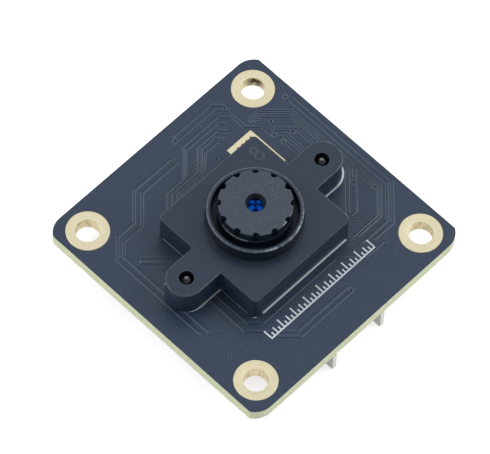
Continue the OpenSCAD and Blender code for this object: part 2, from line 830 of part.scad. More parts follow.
module flash_leads() {
    xs = [for (i = [0 : 3]) (i - 1.5) * flash_pitch];
    color([0.75, 0.76, 0.78]) under_board() at(FLASH_AT)
        lead_rows(flash_y, flash_reach, flash_lead_z - flash_lead_t / 2,
                  flash_lead_w, flash_lead_t, flash_foot, xs, xs);
}

// ---- Five-lead and six-lead parts ----

sot_lead_z = sot_h / 2;

module sot_body(place) {
    under_board() at(place)
        moulded_body(sot_x, sot_y, sot_standoff, sot_lead_z, sot_h, sot_slope);
}

module sot_leads(place, back) {
    front = [-sot_pitch, 0, sot_pitch];
    under_board() at(place)
        lead_rows(sot_y, sot_reach, sot_lead_z - sot_lead_t / 2,
                  sot_lead_w, sot_lead_t, sot_foot, front, back);
}

module voltage_regulators() {
    color([0.13, 0.13, 0.14]) for (p = REGULATORS_AT) sot_body(p);
}

module regulator_leads() {
    color([0.75, 0.76, 0.78]) for (p = REGULATORS_AT)
        sot_leads(p, [-sot_pitch, sot_pitch]);
}

module surge_protector() {
    color([0.13, 0.13, 0.14]) sot_body(PROTECTOR_AT);
}

module protector_leads() {
    color([0.75, 0.76, 0.78])
        sot_leads(PROTECTOR_AT, [-sot_pitch, 0, sot_pitch]);
}

// ---- Crystal ----

module crystal_base() {
    color([0.8, 0.72, 0.5]) under_board() at(CRYSTAL_AT)
        block(crystal_x, crystal_y, 0, crystal_base_h);
}

module crystal_lid() {
    color([0.75, 0.76, 0.78]) under_board() at(CRYSTAL_AT)
        block(crystal_x - 2 * crystal_rim, crystal_y - 2 * crystal_rim,
              crystal_base_h, crystal_base_h + crystal_lid_h);
}

// ---- Bulk capacitor ----

// Metal strap that wraps under one end of the bulk capacitor
module bulk_strap() {
    t = bulk_strap_t;
    translate([bulk_x / 2, -bulk_strap_w / 2, 0]) {
        cube([t, bulk_strap_w, bulk_strap_h]);
        translate([-bulk_foot, 0, 0]) cube([bulk_foot + t, bulk_strap_w, t]);
    }
}

module bulk_capacitor() {
    color([0.85, 0.62, 0.2]) under_board() at(BULK_AT)
        block(bulk_x, bulk_y, bulk_strap_t, bulk_h);
}

module bulk_capacitor_leads() {
    color([0.75, 0.76, 0.78]) under_board() at(BULK_AT)
        for (turn = [0, 180]) rotate([0, 0, turn]) bulk_strap();
}

// ---- Chip parts ----

module chip_body(place, l, w, h) {
    under_board() at(place) block(l - 2 * cap_l, w, chip_lift, h);
}

module chip_ends(place, l, w, h) {
    under_board() at(place) for (s = [-1, 1])
        translate([s * (l - cap_l) / 2, 0, 0]) block(cap_l, w, 0, h);
}

module ceramic_capacitors() {
    color([0.72, 0.58, 0.42]) for (p = CAPACITORS_AT)
        chip_body(p, chip_l, chip_w, chip_h);
}

module resistors() {
    color([0.12, 0.12, 0.14]) for (p = RESISTORS_AT)
        chip_body(p, chip_l, chip_w, resistor_h);
}

module ferrite_beads() {
    color([0.3, 0.3, 0.32]) for (p = BEADS_AT)
        chip_body(p, bead_l, bead_w, bead_w);
}

module chip_end_caps() {
    color([0.75, 0.76, 0.78]) {
        for (p = CAPACITORS_AT) chip_ends(p, chip_l, chip_w, chip_h);
        for (p = RESISTORS_AT) chip_ends(p, chip_l, chip_w, resistor_h);
        for (p = BEADS_AT) chip_ends(p, bead_l, bead_w, bead_w);
    }
}

circuit_board();
mounting_hole_plating();
ground_pad();
test_pads();
lens_holder();
holder_screws();
ir_cut_filter();
lens_barrel();
front_element();
second_element();
third_element();
rear_element();
element_spacers();
lens_retainer();
image_sensor();
sensor_cover_glass();
sensor_solder_balls();
header_housing();
header_contacts();
header_solder_tabs();
video_processor();
processor_terminals();
flash_memory();
flash_leads();
voltage_regulators();
regulator_leads();
surge_protector();
protector_leads();
crystal_base();
crystal_lid();
bulk_capacitor();
bulk_capacitor_leads();
ceramic_capacitors();
resistors();
ferrite_beads();
chip_end_caps();
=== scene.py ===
"""Dressed model of a board camera module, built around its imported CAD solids.

Lengths are millimetres until a mesh is made. +Z is the way the lens looks, and the
cable header opens towards -Y.
"""

import math

import bmesh
import bpy
from mathutils import Matrix, Vector, noise


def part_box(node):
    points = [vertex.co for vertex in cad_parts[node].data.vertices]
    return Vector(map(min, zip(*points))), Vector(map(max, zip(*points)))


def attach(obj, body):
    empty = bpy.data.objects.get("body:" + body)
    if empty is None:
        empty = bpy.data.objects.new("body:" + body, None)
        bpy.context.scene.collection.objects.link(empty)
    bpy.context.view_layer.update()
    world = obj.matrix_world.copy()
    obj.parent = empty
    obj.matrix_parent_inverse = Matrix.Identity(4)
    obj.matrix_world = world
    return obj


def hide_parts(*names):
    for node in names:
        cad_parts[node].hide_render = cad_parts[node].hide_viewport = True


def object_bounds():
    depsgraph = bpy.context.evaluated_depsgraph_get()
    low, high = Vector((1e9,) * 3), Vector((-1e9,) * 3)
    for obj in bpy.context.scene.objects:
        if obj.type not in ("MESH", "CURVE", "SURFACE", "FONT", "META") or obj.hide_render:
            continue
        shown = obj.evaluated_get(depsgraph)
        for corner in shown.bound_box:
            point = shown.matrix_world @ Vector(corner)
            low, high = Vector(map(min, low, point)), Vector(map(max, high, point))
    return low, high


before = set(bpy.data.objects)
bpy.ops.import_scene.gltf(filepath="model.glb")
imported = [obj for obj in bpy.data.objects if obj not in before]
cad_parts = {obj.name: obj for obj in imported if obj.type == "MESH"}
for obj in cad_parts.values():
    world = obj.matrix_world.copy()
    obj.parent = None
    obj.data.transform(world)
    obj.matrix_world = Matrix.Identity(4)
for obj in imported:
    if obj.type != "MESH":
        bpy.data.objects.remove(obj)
cad_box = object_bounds()

MM = 0.001
TAU = 2 * math.pi


# ---- Sizes ----

def box_mm(node):
    """Lowest and highest corner of a CAD node, in millimetres."""
    low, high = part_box(node)
    return low / MM, high / MM


def islands(node):
    """Boxes (low, high) of the separate solids in a CAD node, in millimetres."""
    mesh = bmesh.new()
    mesh.from_mesh(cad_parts[node].data)
    bmesh.ops.remove_doubles(mesh, verts=mesh.verts, dist=1e-7)
    boxes, seen = [], set()
    for start in mesh.verts:
        if start in seen:
            continue
        seen.add(start)
        group = [start]
        for vert in group:
            linked = [edge.other_vert(vert) for edge in vert.link_edges]
            fresh = [other for other in linked if other not in seen]
            seen.update(fresh)
            group += fresh
        points = [vert.co / MM for vert in group]
        boxes.append(tuple(Vector([pick(p[i] for p in points) for i in range(3)])
                           for pick in (min, max)))
    mesh.free()
    return boxes


def middle(box):
    return (box[0] + box[1]) / 2


def nearest(boxes, point):
    return min(boxes, key=lambda box: (middle(box) - point).length)


BOARD_LOW, BOARD_HIGH = box_mm("circuit_board")
BACK_Z = BOARD_LOW.z
HALF_X, HALF_Y = BOARD_HIGH.x, BOARD_HIGH.y
CORNER_R = 2.5
EDGE_TRIM = 0.4
MASK_T = 0.025
STRIP_SUNK = 0.01
MITRE_LIMIT = 0.5
MASK_GAP = 0.03

PLATED_HOLES = [middle(b) for b in islands("mounting_hole_plating")]
PLATE_TOP = box_mm("mounting_hole_plating")[1].z
HOLE_R = 1.35
RING_R = 2.4
DRILL_R = 1.4

BARREL = box_mm("lens_barrel")
AXIS = middle(BARREL)
HOLDER = box_mm("lens_holder")
HOLDER_H = 3.6
RIM_Z = HOLDER[1].z
BODY_HALF = HOLDER[1].y - AXIS.y
BODY_CORNER_R = 0.6
EAR_R = 2.15
EAR_REACH = HOLDER[1].x - AXIS.x - EAR_R
SCREWS = [middle(b) for b in islands("holder_screws")]
SCREW_LOW, SCREW_TIP = [corner.z for corner in box_mm("holder_screws")]
SCREW_HOLE_R = 0.83
COLLAR_R = 5.275
MOUTH_R = 4.795
MOUTH_Z = 4.3
BORE_R = 3.5
LENS_PITCH = 0.35
FILTER = box_mm("ir_cut_filter")
FILTER_PLAY = 0.1
CAVITY_HALF = BODY_HALF - 1.3

TOP_Z = BARREL[1].z
FLANGE_R = BARREL[1].x - AXIS.x
GRIP_R = FLANGE_R - 0.07
GRIP_Z = TOP_Z - 1.25
FLANGE_Z = TOP_Z - 1.9
NOTCHES = 12
NOTCH_R = 0.38
THROAT_R = 0.85
OPENING_R = 1.125
ELEMENTS = ["front_element", "second_element", "third_element", "rear_element"]


# ---- Outlines, as lists of (x, y) in millimetres ----

def pairs(ring):
    """Each item of a closed ring with the next one."""
    return zip(ring, ring[1:] + ring[:1])


def turned_by(points, turn):
    """Points turned round the origin."""
    c, s = math.cos(turn), math.sin(turn)
    return [(x * c - y * s, x * s + y * c) for x, y in points]


def arc(cx, cy, r, start, end, steps):
    """Points along an arc, from start to end in degrees."""
    turns = [math.radians(start + (end - start) * i / steps) for i in range(steps + 1)]
    return [(cx + r * math.cos(t), cy + r * math.sin(t)) for t in turns]


def circle(cx, cy, r, count=48):
    return arc(cx, cy, r, 0, 360, count)[:-1]


def whole(half):
    """Half of an outline, and the same half turned to the other side of the origin."""
    return half + [(-x, -y) for x, y in half]


def rectangle(low, high, inset=0.0):
    """Corners of the upright box from low to high, moved inwards by inset."""
    x0, y0, x1, y1 = low.x + inset, low.y + inset, high.x - inset, high.y - inset
    return [(x0, y0), (x1, y0), (x1, y1), (x0, y1)]


def rounded(centres, r, steps=4):
    """Outline that turns with radius r round the four corner centres of a rectangle."""
    points = []
    for (x, y), start in zip(centres, (180, 270, 0, 90)):
        points += arc(x, y, r, start, start + 90, steps)
    return points


def board_outline(inset=0.0):
    """Rounded square whose two scored edges cut its corners short."""
    cx, cy = HALF_X + EDGE_TRIM - CORNER_R, HALF_Y - CORNER_R
    r = CORNER_R - inset
    cut = math.degrees(math.acos((HALF_X - inset - cx) / r))
    return whole(arc(cx, cy, r, cut, 90, 10) + arc(-cx, cy, r, 90, 180 - cut, 10))


def rough_outline(inset, seed):
    """The board's outline in short steps, dented here and there by noise."""
    step, depth, spacing = 0.5, 0.02, 2.1
    points = []
    for a, b in pairs(board_outline(inset)):
        count = max(1, round(math.dist(a, b) / step))
        for k in range(count):
            x, y = [a[i] + (b[i] - a[i]) * k / count for i in (0, 1)]
            dent = depth * max(0.0, noise.noise(Vector((x * spacing, y * spacing, seed))))
            shrink = 1 - dent / max(abs(x), abs(y))
            points.append((x * shrink, y * shrink))
    return points


def holder_outline(inset=0.0):
    """The holder's square body and its two round-ended screw ears."""
    fillet = 0.12
    c = BODY_HALF - BODY_CORNER_R
    r = BODY_CORNER_R - inset
    x, y = BODY_HALF + fillet, EAR_R + fillet
    half = (arc(EAR_REACH, 0, EAR_R - inset, -90, 90, 32)
            + arc(x, y, fillet + inset, 270, 180, 4) + arc(c, c, r, 0, 90, 8)
            + arc(-c, c, r, 90, 180, 8) + arc(-x, y, fillet + inset, 0, -90, 4))
    return [(AXIS.x + px, AXIS.y + py) for px, py in whole(half)]


def grip_outline(inset=0.0, burr=0.0):
    """Round grip with notches. Burrs roughen the notches' edges on one side."""
    rough_side, waves = math.radians(50), 3
    r, q = GRIP_R - inset, NOTCH_R + inset
    half = math.acos((r * r + GRIP_R ** 2 - q * q) / (2 * r * GRIP_R))
    lip = math.atan2(r * math.sin(half), GRIP_R - r * math.cos(half))
    step = TAU / NOTCHES
    points = []
    for i in range(NOTCHES):
        at = (i + 0.5) * step
        turns = [math.pi + lip - 2 * lip * k / 10 for k in range(11)]
        points += turned_by([(GRIP_R + q * math.cos(t), q * math.sin(t)) for t in turns], at)
        flat = [at + half + (step - 2 * half) * k / 8 for k in range(1, 8)]
        points += [(r * math.cos(t), r * math.sin(t)) for t in flat]
    rough = []
    for x, y in points:
        side = max(0.0, math.cos(math.atan2(y, x) + rough_side))
        push = burr * side * (0.4 + noise.noise(Vector((x * waves, y * waves, 0))))
        grow = 1 + push / GRIP_R
        rough.append((AXIS.x + x * grow, AXIS.y + y * grow))
    return rough


# ---- Mesh building ----

class Shape:
    """A mesh made from loops of points in millimetres and the faces between them."""

    def __init__(self):
        self.mesh = bmesh.new()

    def loop(self, points, z=0.0):
        """Corners at the points, which lie at height z where they have none of their own."""
        return [self.mesh.verts.new((*p, z)[:3]) for p in points]

    def bridge(self, a, b):
        for (a0, a1), (b0, b1) in zip(pairs(a), pairs(b)):
            self.mesh.faces.new((a0, a1, b1, b0))

    def walls(self, *loops):
        for a, b in zip(loops, loops[1:]):
            self.bridge(a, b)

    def fill(self, *loops):
        """Flat face bounded by the loops; inner loops are holes."""
        edges = []
        for ring in loops:
            for a, b in pairs(ring):
                edges.append(self.mesh.edges.get((a, b)) or self.mesh.edges.new((a, b)))
        bmesh.ops.triangle_fill(self.mesh, use_beauty=True, use_dissolve=False, edges=edges)

    def cap(self, ring, z):
        """Closes a round loop with a fan to its middle."""
        x = sum(v.co.x for v in ring) / len(ring)
        y = sum(v.co.y for v in ring) / len(ring)
        tip = self.mesh.verts.new((x, y, z))
        for a, b in pairs(ring):
            self.mesh.faces.new((a, b, tip))

    def rings(self, profile, cx, cy, count=48):
        """Round loops through (r, z) points round an upright axis, and the walls between."""
        loops = [self.loop(circle(cx, cy, r, count), z) for r, z in profile]
        self.walls(*loops)
        return loops

    def turned(self, profile, cx, cy, count=48, closed=False):
        """Revolves (r, z) points round an upright axis; r = 0 closes an end."""
        loops = self.rings([p for p in profile if p[0] > 0], cx, cy, count)
        if closed:
            self.bridge(loops[-1], loops[0])
        for end in (0, -1):
            if profile[end][0] == 0:
                self.cap(loops[end], profile[end][1])

    def rounded_edge(self, outline, z, bevel, side=1):
        """Loops round an edge at height z; outline(inset) gives the points of each."""
        turns = [math.radians(30 * k) for k in range(4)]
        return [self.loop(outline(bevel * (1 - math.cos(t))),
                          z - side * bevel * (1 - math.sin(t))) for t in turns]

    def plate(self, sides, holes):
        """Plate between the first and last of the loops in sides, with holes through it."""
        self.walls(*sides)
        bottoms = [self.loop(h, sides[0][0].co.z) for h in holes]
        tops = [self.loop(h, sides[-1][0].co.z) for h in holes]
        for a, b in zip(bottoms, tops):
            self.bridge(a, b)
        self.fill(sides[0], *bottoms)
        self.fill(sides[-1], *tops)

    def brick(self, low, high, bevel):
        """Box with all its edges rounded."""
        made = bmesh.ops.create_cube(self.mesh, size=1)["verts"]
        size, centre = high - low, (low + high) / 2
        for vert in made:
            vert.co = Vector([vert.co[i] * size[i] + centre[i] for i in range(3)])
        edges = list({e for v in made for e in v.link_edges})
        bmesh.ops.bevel(self.mesh, geom=edges, offset=bevel, segments=2, affect="EDGES",
                        profile=0.5)

    def loft(self, rows, axis=0):
        """Solid through rows of (x, y, z) points; x and y change places where axis is 1."""
        if axis == 1:
            rows = [[(y, x, z) for x, y, z in row] for row in rows]
        sections = [self.loop(row) for row in rows]
        self.walls(*sections)
        self.mesh.faces.new(sections[0])
        self.mesh.faces.new(sections[-1][::-1])

    def ribbon(self, path, width, z0, z1, slope):
        """Raised strip along a path, with sloping sides and ends."""
        points = [Vector(p) for p in path]
        rows = []
        for i, p in enumerate(points):
            before = (p - points[i - 1]).normalized() if i > 0 else None
            after = (points[i + 1] - p).normalized() if i < len(path) - 1 else None
            along = ((before or after) + (after or before)).normalized()
            across = Vector((-along.y, along.x))
            stretch = 1 / max(MITRE_LIMIT, along.dot(before or after))
            ends = 0.0 if before and after else slope * (1 if after is None else -1)
            row = []
            for side, z, out in ((-1, z0, slope), (-1, z1, 0), (1, z1, 0), (1, z0, slope)):
                q = p + across * side * (width / 2 + out) * stretch
                if out:
                    q = q + along * ends
                row.append((q.x, q.y, z))
            rows.append(row)
        self.loft(rows)

    def strip(self, path, width, side, height, slope):
        """Low ribbon on the board's top face, or on its underside where side is -1."""
        face = 0.0 if side > 0 else BACK_Z
        self.ribbon(path, width, face - side * STRIP_SUNK, face + side * height, slope)

    def thread(self, cx, cy, r, depth, pitch, z0, z1, count=48, taper=lambda z: 1.0):
        """Loops of a screw thread, from z0 to z1; gives back the first and the last."""
        per_turn, sharpness = 8, 1.25
        steps = max(2, round(abs(z1 - z0) / pitch * per_turn))
        loops = []
        for k in range(steps + 1):
            z = z0 + (z1 - z0) * k / steps
            points = []
            for i in range(count):
                phase = (z / pitch - i / count) % 1
                ridge = max(0.0, 1 - abs(2 * phase - 1) * sharpness)
                radius = (r + depth * ridge) * taper(z)
                turn = TAU * i / count
                points.append((cx + radius * math.cos(turn), cy + radius * math.sin(turn)))
            loops.append(self.loop(points, z))
        self.walls(*loops)
        return loops[0], loops[-1]

    def object(self, name, materials, slot, replaces=None, body="module", smooth=35, paint=None):
        """Makes the piece, in metres, riding on its body."""
        bmesh.ops.recalc_face_normals(self.mesh, faces=self.mesh.faces)
        if paint:
            for face in self.mesh.faces:
                face.material_index = paint(face.calc_center_median(), face.normal)
        bmesh.ops.scale(self.mesh, vec=(MM, MM, MM), verts=self.mesh.verts)
        data = bpy.data.meshes.new(name)
        self.mesh.to_mesh(data)
        self.mesh.free()
        data.polygons.foreach_set("use_smooth", [True] * len(data.polygons))
        data.set_sharp_from_angle(angle=math.radians(smooth))
        for surface in materials:
            data.materials.append(surface)
        piece = bpy.data.objects.new(name, data)
        bpy.context.scene.collection.objects.link(piece)
        piece.modifiers.new("even_shading", "WEIGHTED_NORMAL").keep_sharp = True
        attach(piece, body)
        if replaces:
            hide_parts(replaces)


# ---- Materials ----

class Nodes:
    """Makes the nodes of a material or of the surround."""

    def __init__(self, tree):
        self.nodes, self.links = tree.nodes, tree.links

    def node(self, kind, inputs=(), **settings):
        """Outputs of a new node. Each of its inputs is a value or another node's output."""
        made = self.nodes.new(kind)
        for key, value in settings.items():
            setattr(made, key, value)
        for key, value in dict(inputs).items():
            if isinstance(value, bpy.types.NodeSocket):
                self.links.new(value, made.inputs[key])
            else:
                made.inputs[key].default_value = value
        return made.outputs

    def math(self, operation, a, b=0.0):
        return self.node("ShaderNodeMath", {0: a, 1: b}, operation=operation)[0]

    def vector(self, operation, a, b=(0, 0, 0)):
        return self.node("ShaderNodeVectorMath", {0: a, 1: b}, operation=operation)

    def ramp(self, value, low, high, start=0.0, end=1.0):
        """Steers value so that low becomes start and high becomes end."""
        return self.node("ShaderNodeMapRange", {
            "Value": value, "From Min": low, "From Max": high,
            "To Min": start, "To Max": end})["Result"]


# Nearly all of a noise texture's values lie between these two.
NOISE_RANGE = (0.25, 0.75)


class Surface(Nodes):
    """A procedural material: a Principled shader with noise on colour, gloss and relief."""

    def __init__(self, name, colour, rough, metallic=0.0, **sockets):
        self.made = bpy.data.materials.new(name)
        self.made.use_nodes = True
        super().__init__(self.made.node_tree)
        self.inputs = self.nodes["Principled BSDF"].inputs
        self.colour = (*colour, 1)
        sockets.update(Base_Color=self.colour, Roughness=rough, Metallic=metallic)
        for socket, value in sockets.items():
            self.inputs[socket.replace("_", " ")].default_value = value
        self.place = self.node("ShaderNodeTexCoord")["Object"]

    def grain(self, size, detail=4, stretch=None):
        """Noise from 0 to 1 whose features are about size millimetres across."""
        place = self.place
        if stretch:
            place = self.node("ShaderNodeMapping", {"Vector": place, "Scale": stretch})[0]
        return self.node("ShaderNodeTexNoise", {
            "Vector": place, "Scale": 1 / (size * MM), "Detail": detail})["Fac"]

    def worn(self, size, low, high, detail=4, stretch=None):
        """The same noise with low as 0 and high as 1, for patches with clearer edges."""
        return self.ramp(self.grain(size, detail, stretch), low, high)

    def specks(self, spacing, share):
        """Scattered spots: 1 inside a spot, 0 outside."""
        cells = self.node("ShaderNodeTexVoronoi", {
            "Vector": self.place, "Scale": 1 / (spacing * MM)})
        return self.ramp(cells["Distance"], share * 0.6, share, 1, 0)

    def towards(self, direction, low, high):
        """1 on the side of the lens axis that direction points to, 0 on the other."""
        unit = self.vector("NORMALIZE", self.vector("SUBTRACT", self.place, AXIS * MM)[0])[0]
        return self.ramp(self.vector("DOT_PRODUCT", unit, direction)["Value"], low, high)

    def near(self, point, radius):
        """1 at a point given in millimetres, falling to 0 at the radius."""
        away = self.vector("DISTANCE", self.place, Vector(point) * MM)["Value"]
        return self.ramp(away, radius * 0.3 * MM, radius * MM, 1, 0)

    def tint(self, mask, colour, strength=1.0):
        """Blends colour in where mask is high."""
        self.colour = self.node("ShaderNodeMix", {
            0: self.math("MULTIPLY", mask, strength), 6: self.colour, 7: (*colour, 1)},
            data_type="RGBA")[2]
        self.links.new(self.colour, self.inputs["Base Color"])

    def finish(self, gloss, low, high, bumps, height):
        """Roughness from low to high across one noise, and bumps in millimetres from another."""
        rough = self.ramp(gloss, *NOISE_RANGE, low, high)
        self.links.new(rough, self.inputs["Roughness"])
        bump = self.node("ShaderNodeBump", {
            "Height": bumps, "Distance": height * MM, "Strength": 1.0})
        self.links.new(bump["Normal"], self.inputs["Normal"])
        return self.made


def solder_mask():
    s = Surface("solder_mask", (0.012, 0.026, 0.058), 0.38, Specular_IOR_Level=0.46)
    s.tint(s.grain(5), (0.02, 0.036, 0.068), 0.7)
    s.tint(s.worn(0.22, 0.5, 0.75, 5), (0.036, 0.053, 0.082), 0.8)
    s.tint(s.specks(0.8, 0.07), (0.2, 0.23, 0.26), 0.6)
    return s.finish(s.grain(0.8), 0.32, 0.48, s.grain(0.12, 3), 0.002)


def trace_mask():
    s = Surface("mask_over_copper", (0.018, 0.033, 0.066), 0.38, Specular_IOR_Level=0.45)
    s.tint(s.grain(0.9), (0.026, 0.042, 0.078), 0.7)
    s.tint(s.specks(0.9, 0.06), (0.2, 0.23, 0.26), 0.6)
    return s.finish(s.grain(0.5, 3), 0.3, 0.44, s.grain(0.15, 3), 0.001)


# Lighter mask on copper edges: thin mask there, plus a painted highlight on the edges that face
# one way.
def trace_edge_mask_and_highlight():
    s = Surface("thin_mask_and_painted_highlight_on_copper_edges", (0.08, 0.104, 0.138), 0.34)
    s.tint(s.grain(0.5), (0.12, 0.15, 0.19), 0.8)
    return s.finish(s.grain(0.3, 3), 0.26, 0.42, s.grain(0.1, 3), 0.001)


# Darker mask beside copper: thick mask there, plus painted shade on the edges that face the other
# way.
def pooled_mask_and_painted_shade():
    s = Surface("thick_mask_and_painted_shade_beside_copper", (0.003, 0.007, 0.018), 0.42, Specular_IOR_Level=0.2)
    s.tint(s.grain(0.5), (0.006, 0.012, 0.027), 0.8)
    return s.finish(s.grain(0.3, 3), 0.34, 0.5, s.grain(0.12, 3), 0.001)


def via_mask():
    s = Surface("mask_in_vias", (0.003, 0.004, 0.008), 0.45, Specular_IOR_Level=0.3)
    s.tint(s.grain(0.1, 3), (0.008, 0.01, 0.016))
    return s.finish(s.grain(0.1, 3), 0.35, 0.55, s.grain(0.08, 3), 0.003)


def laminate():
    s = Surface("glass_fibre_laminate", (0.75, 0.8, 0.53), 0.62, Subsurface_Weight=0.15,
                Subsurface_Scale=0.0006, Subsurface_Radius=(0.5, 0.5, 0.4))
    s.tint(s.grain(0.5, 4, (1, 1, 6)), (0.84, 0.88, 0.64), 0.8)
    s.tint(s.grain(0.12, 4, (1, 1, 3)), (0.56, 0.6, 0.36), 0.45)
    return s.finish(s.grain(0.2), 0.5, 0.8, s.grain(0.1, 4, (1, 1, 4)), 0.012)


def gold_finish():
    s = Surface("gold_flash", (0.69, 0.63, 0.43), 0.42, 1.0)
    s.tint(s.grain(0.7), (0.76, 0.71, 0.53), 0.8)
    s.tint(s.worn(0.08, 0.45, 0.7), (0.56, 0.48, 0.29), 0.5)
    return s.finish(s.grain(0.3), 0.34, 0.52, s.grain(0.09), 0.004)


def plated_wall():
    """Drawn gold, with a brown stain in one of the holes."""
    stain_place, stain_r = (13.8, 13.4, -0.6), 1.35
    s = Surface("plated_wall", (0.74, 0.65, 0.44), 0.45, 1.0)
    s.tint(s.worn(0.5, 0.42, 0.62, 4, (1, 1, 0.3)), (0.34, 0.25, 0.12), 0.5)
    stain = s.math("MULTIPLY", s.near(stain_place, stain_r),
                   s.worn(0.3, 0.32, 0.46, 5, (1, 1, 0.4)))
    s.tint(stain, (0.06, 0.034, 0.008))
    return s.finish(s.grain(0.2), 0.35, 0.65, s.grain(0.15, 4, (1, 1, 0.3)), 0.03)


def ink():
    s = Surface("white_ink", (0.68, 0.74, 0.78), 0.6)
    s.tint(s.worn(0.12, 0.45, 0.7), (0.48, 0.54, 0.6), 0.7)
    return s.finish(s.grain(0.1, 3), 0.5, 0.75, s.grain(0.06, 3), 0.004)


def holder_plastic():
    s = Surface("holder_plastic", (0.005, 0.015, 0.036), 0.4, Specular_IOR_Level=0.49)
    s.tint(s.grain(3.0), (0.008, 0.02, 0.046), 0.7)
    s.tint(s.worn(0.12, 0.45, 0.75, 5), (0.027, 0.042, 0.068), 0.7)
    s.tint(s.specks(0.7, 0.07), (0.2, 0.22, 0.24), 0.7)
    return s.finish(s.grain(0.3), 0.32, 0.5, s.grain(0.09), 0.006)


def plastic_edge_highlight():
    """Edges of the mouldings, with painted highlights in places and most of all towards -Y."""
    s = Surface("holder_plastic_edge_highlights", (0.03, 0.044, 0.064), 0.34)
    s.tint(s.worn(0.5, 0.4, 0.65), (0.085, 0.105, 0.13), 0.8)
    s.tint(s.worn(0.15, 0.58, 0.7), (0.22, 0.24, 0.26), 0.5)
    # Painted highlight, brightest on the side that faces -Y.
    highlight_side = s.math("MULTIPLY", s.towards((0.1, -1, 0), 0.6, 0.9), s.worn(0.4, 0.48, 0.6))
    s.tint(highlight_side, (0.3, 0.33, 0.36), 0.9)
    return s.finish(s.grain(0.3), 0.26, 0.46, s.grain(0.12), 0.008)


# Lighter plastic: a painted highlight on one side of the lens flange's edge.
def ledge_painted_highlight():
    s = Surface("ledge_painted_highlight", (0.13, 0.15, 0.17), 0.4)
    s.tint(s.worn(0.6, 0.42, 0.6), (0.03, 0.04, 0.055), 0.8)
    return s.finish(s.grain(0.3), 0.3, 0.5, s.grain(0.12), 0.008)


# Dark smooth plastic, put as painted shade inside the holder's mouth and screw holes, on the
# collar's sides and foot, and on the lens's sides.
def smooth_plastic_painted_shade():
    s = Surface("smooth_black_plastic_painted_shade", (0.009, 0.013, 0.023), 0.26, Specular_IOR_Level=0.12)
    s.tint(s.grain(0.6), (0.013, 0.019, 0.032), 0.7)
    return s.finish(s.grain(0.3), 0.2, 0.36, s.grain(0.15), 0.004)


def lens_plastic():
    s = Surface("lens_plastic", (0.02, 0.034, 0.054), 0.58)
    s.tint(s.worn(0.22, 0.3, 0.7, 5), (0.064, 0.079, 0.102), 0.72)
    s.tint(s.worn(0.6, 0.5, 0.7), (0.022, 0.034, 0.052), 0.4)
    s.tint(s.specks(0.42, 0.08), (0.2, 0.21, 0.22), 0.5)
    return s.finish(s.grain(0.2), 0.48, 0.7, s.grain(0.1, 5), 0.009)


# Blackened parts; the same material is also put in the lens's bore as painted shade.
def black_ring_and_painted_shade():
    s = Surface("blackened_ring_and_bore_shade", (0.006, 0.008, 0.013), 0.6, Specular_IOR_Level=0.2)
    s.tint(s.grain(0.2), (0.012, 0.015, 0.022))
    return s.finish(s.grain(0.1, 3), 0.5, 0.8, s.grain(0.05, 3), 0.003)


def coated_glass():
    """Blue coated glass with a painted reflection that shines in four lobes between a darker
    cross.
    """
    s = Surface("blue_coated_glass_painted_reflection", (0.001, 0.008, 0.06), 0.06, 1.0)
    axes = s.node("ShaderNodeSeparateXYZ", {0: s.vector("SUBTRACT", s.place, AXIS * MM)[0]})
    x, y = s.math("ABSOLUTE", axes[0]), s.math("ABSOLUTE", axes[1])
    square = s.math("ADD", s.math("MULTIPLY", x, x), s.math("MULTIPLY", y, y))
    diagonal = s.math("DIVIDE", s.math("MULTIPLY", x, y), s.math("ADD", square, 1e-9))
    ring = s.ramp(square, (0.1 * MM) ** 2, (0.35 * MM) ** 2)
    # The lobes and their violet patches are a painted reflection.
    lobes = s.math("MULTIPLY", s.ramp(diagonal, 0.12, 0.44, 1, 0), ring)
    s.tint(lobes, (0.0, 0.085, 0.46), 0.9)
    s.tint(s.math("MULTIPLY", lobes, s.worn(0.7, 0.58, 0.68, 2)), (0.02, 0.04, 0.46), 0.6)
    return s.finish(s.grain(0.2, 3), 0.04, 0.12, s.grain(0.8, 1), 0.01)


def lens_glass(name, colour):
    s = Surface(name, colour, 0.03, 0.0, Transmission_Weight=0.95, IOR=1.5)
    s.tint(s.grain(2.0, 2), tuple(c * 0.93 for c in colour))
    return s.finish(s.grain(0.5, 3), 0.02, 0.06, s.grain(0.5, 2), 0.0004)


def steel():
    s = Surface("zinc_plated_steel", (0.4, 0.41, 0.43), 0.36, 1.0)
    s.tint(s.worn(0.4, 0.4, 0.65), (0.56, 0.56, 0.58), 0.8)
    s.tint(s.worn(0.12, 0.5, 0.7), (0.14, 0.14, 0.16), 0.6)
    return s.finish(s.grain(0.2), 0.24, 0.5, s.grain(0.12), 0.008)


def steel_painted_shade_and_glint():
    """Steel of the screws' upper ends, darkened as painted shade, with a painted glint beside each
    tip.
    """
    glint_off, glint_r = 0.12, 0.28
    s = Surface("dark_steel_painted_shade_and_glint", (0.022, 0.024, 0.03), 0.45, 1.0)
    s.tint(s.worn(0.3, 0.45, 0.6), (0.05, 0.052, 0.06), 0.8)
    for screw in SCREWS:
        glint = s.near((screw.x + glint_off, screw.y + glint_off, SCREW_TIP), glint_r)
        s.tint(glint, (0.24, 0.25, 0.26), 0.9)
    return s.finish(s.grain(0.2), 0.35, 0.6, s.grain(0.15), 0.012)


def tin():
    s = Surface("tin_plating", (0.62, 0.63, 0.65), 0.34, 1.0)
    s.tint(s.grain(0.3), (0.74, 0.74, 0.75), 0.8)
    s.tint(s.worn(0.07, 0.5, 0.7), (0.42, 0.42, 0.45), 0.5)
    return s.finish(s.grain(0.15), 0.24, 0.48, s.grain(0.09), 0.004)


def solder():
    s = Surface("solder", (0.66, 0.67, 0.69), 0.24, 1.0)
    s.tint(s.grain(0.2), (0.52, 0.53, 0.56), 0.8)
    return s.finish(s.grain(0.15), 0.14, 0.38, s.grain(0.25, 3), 0.012)


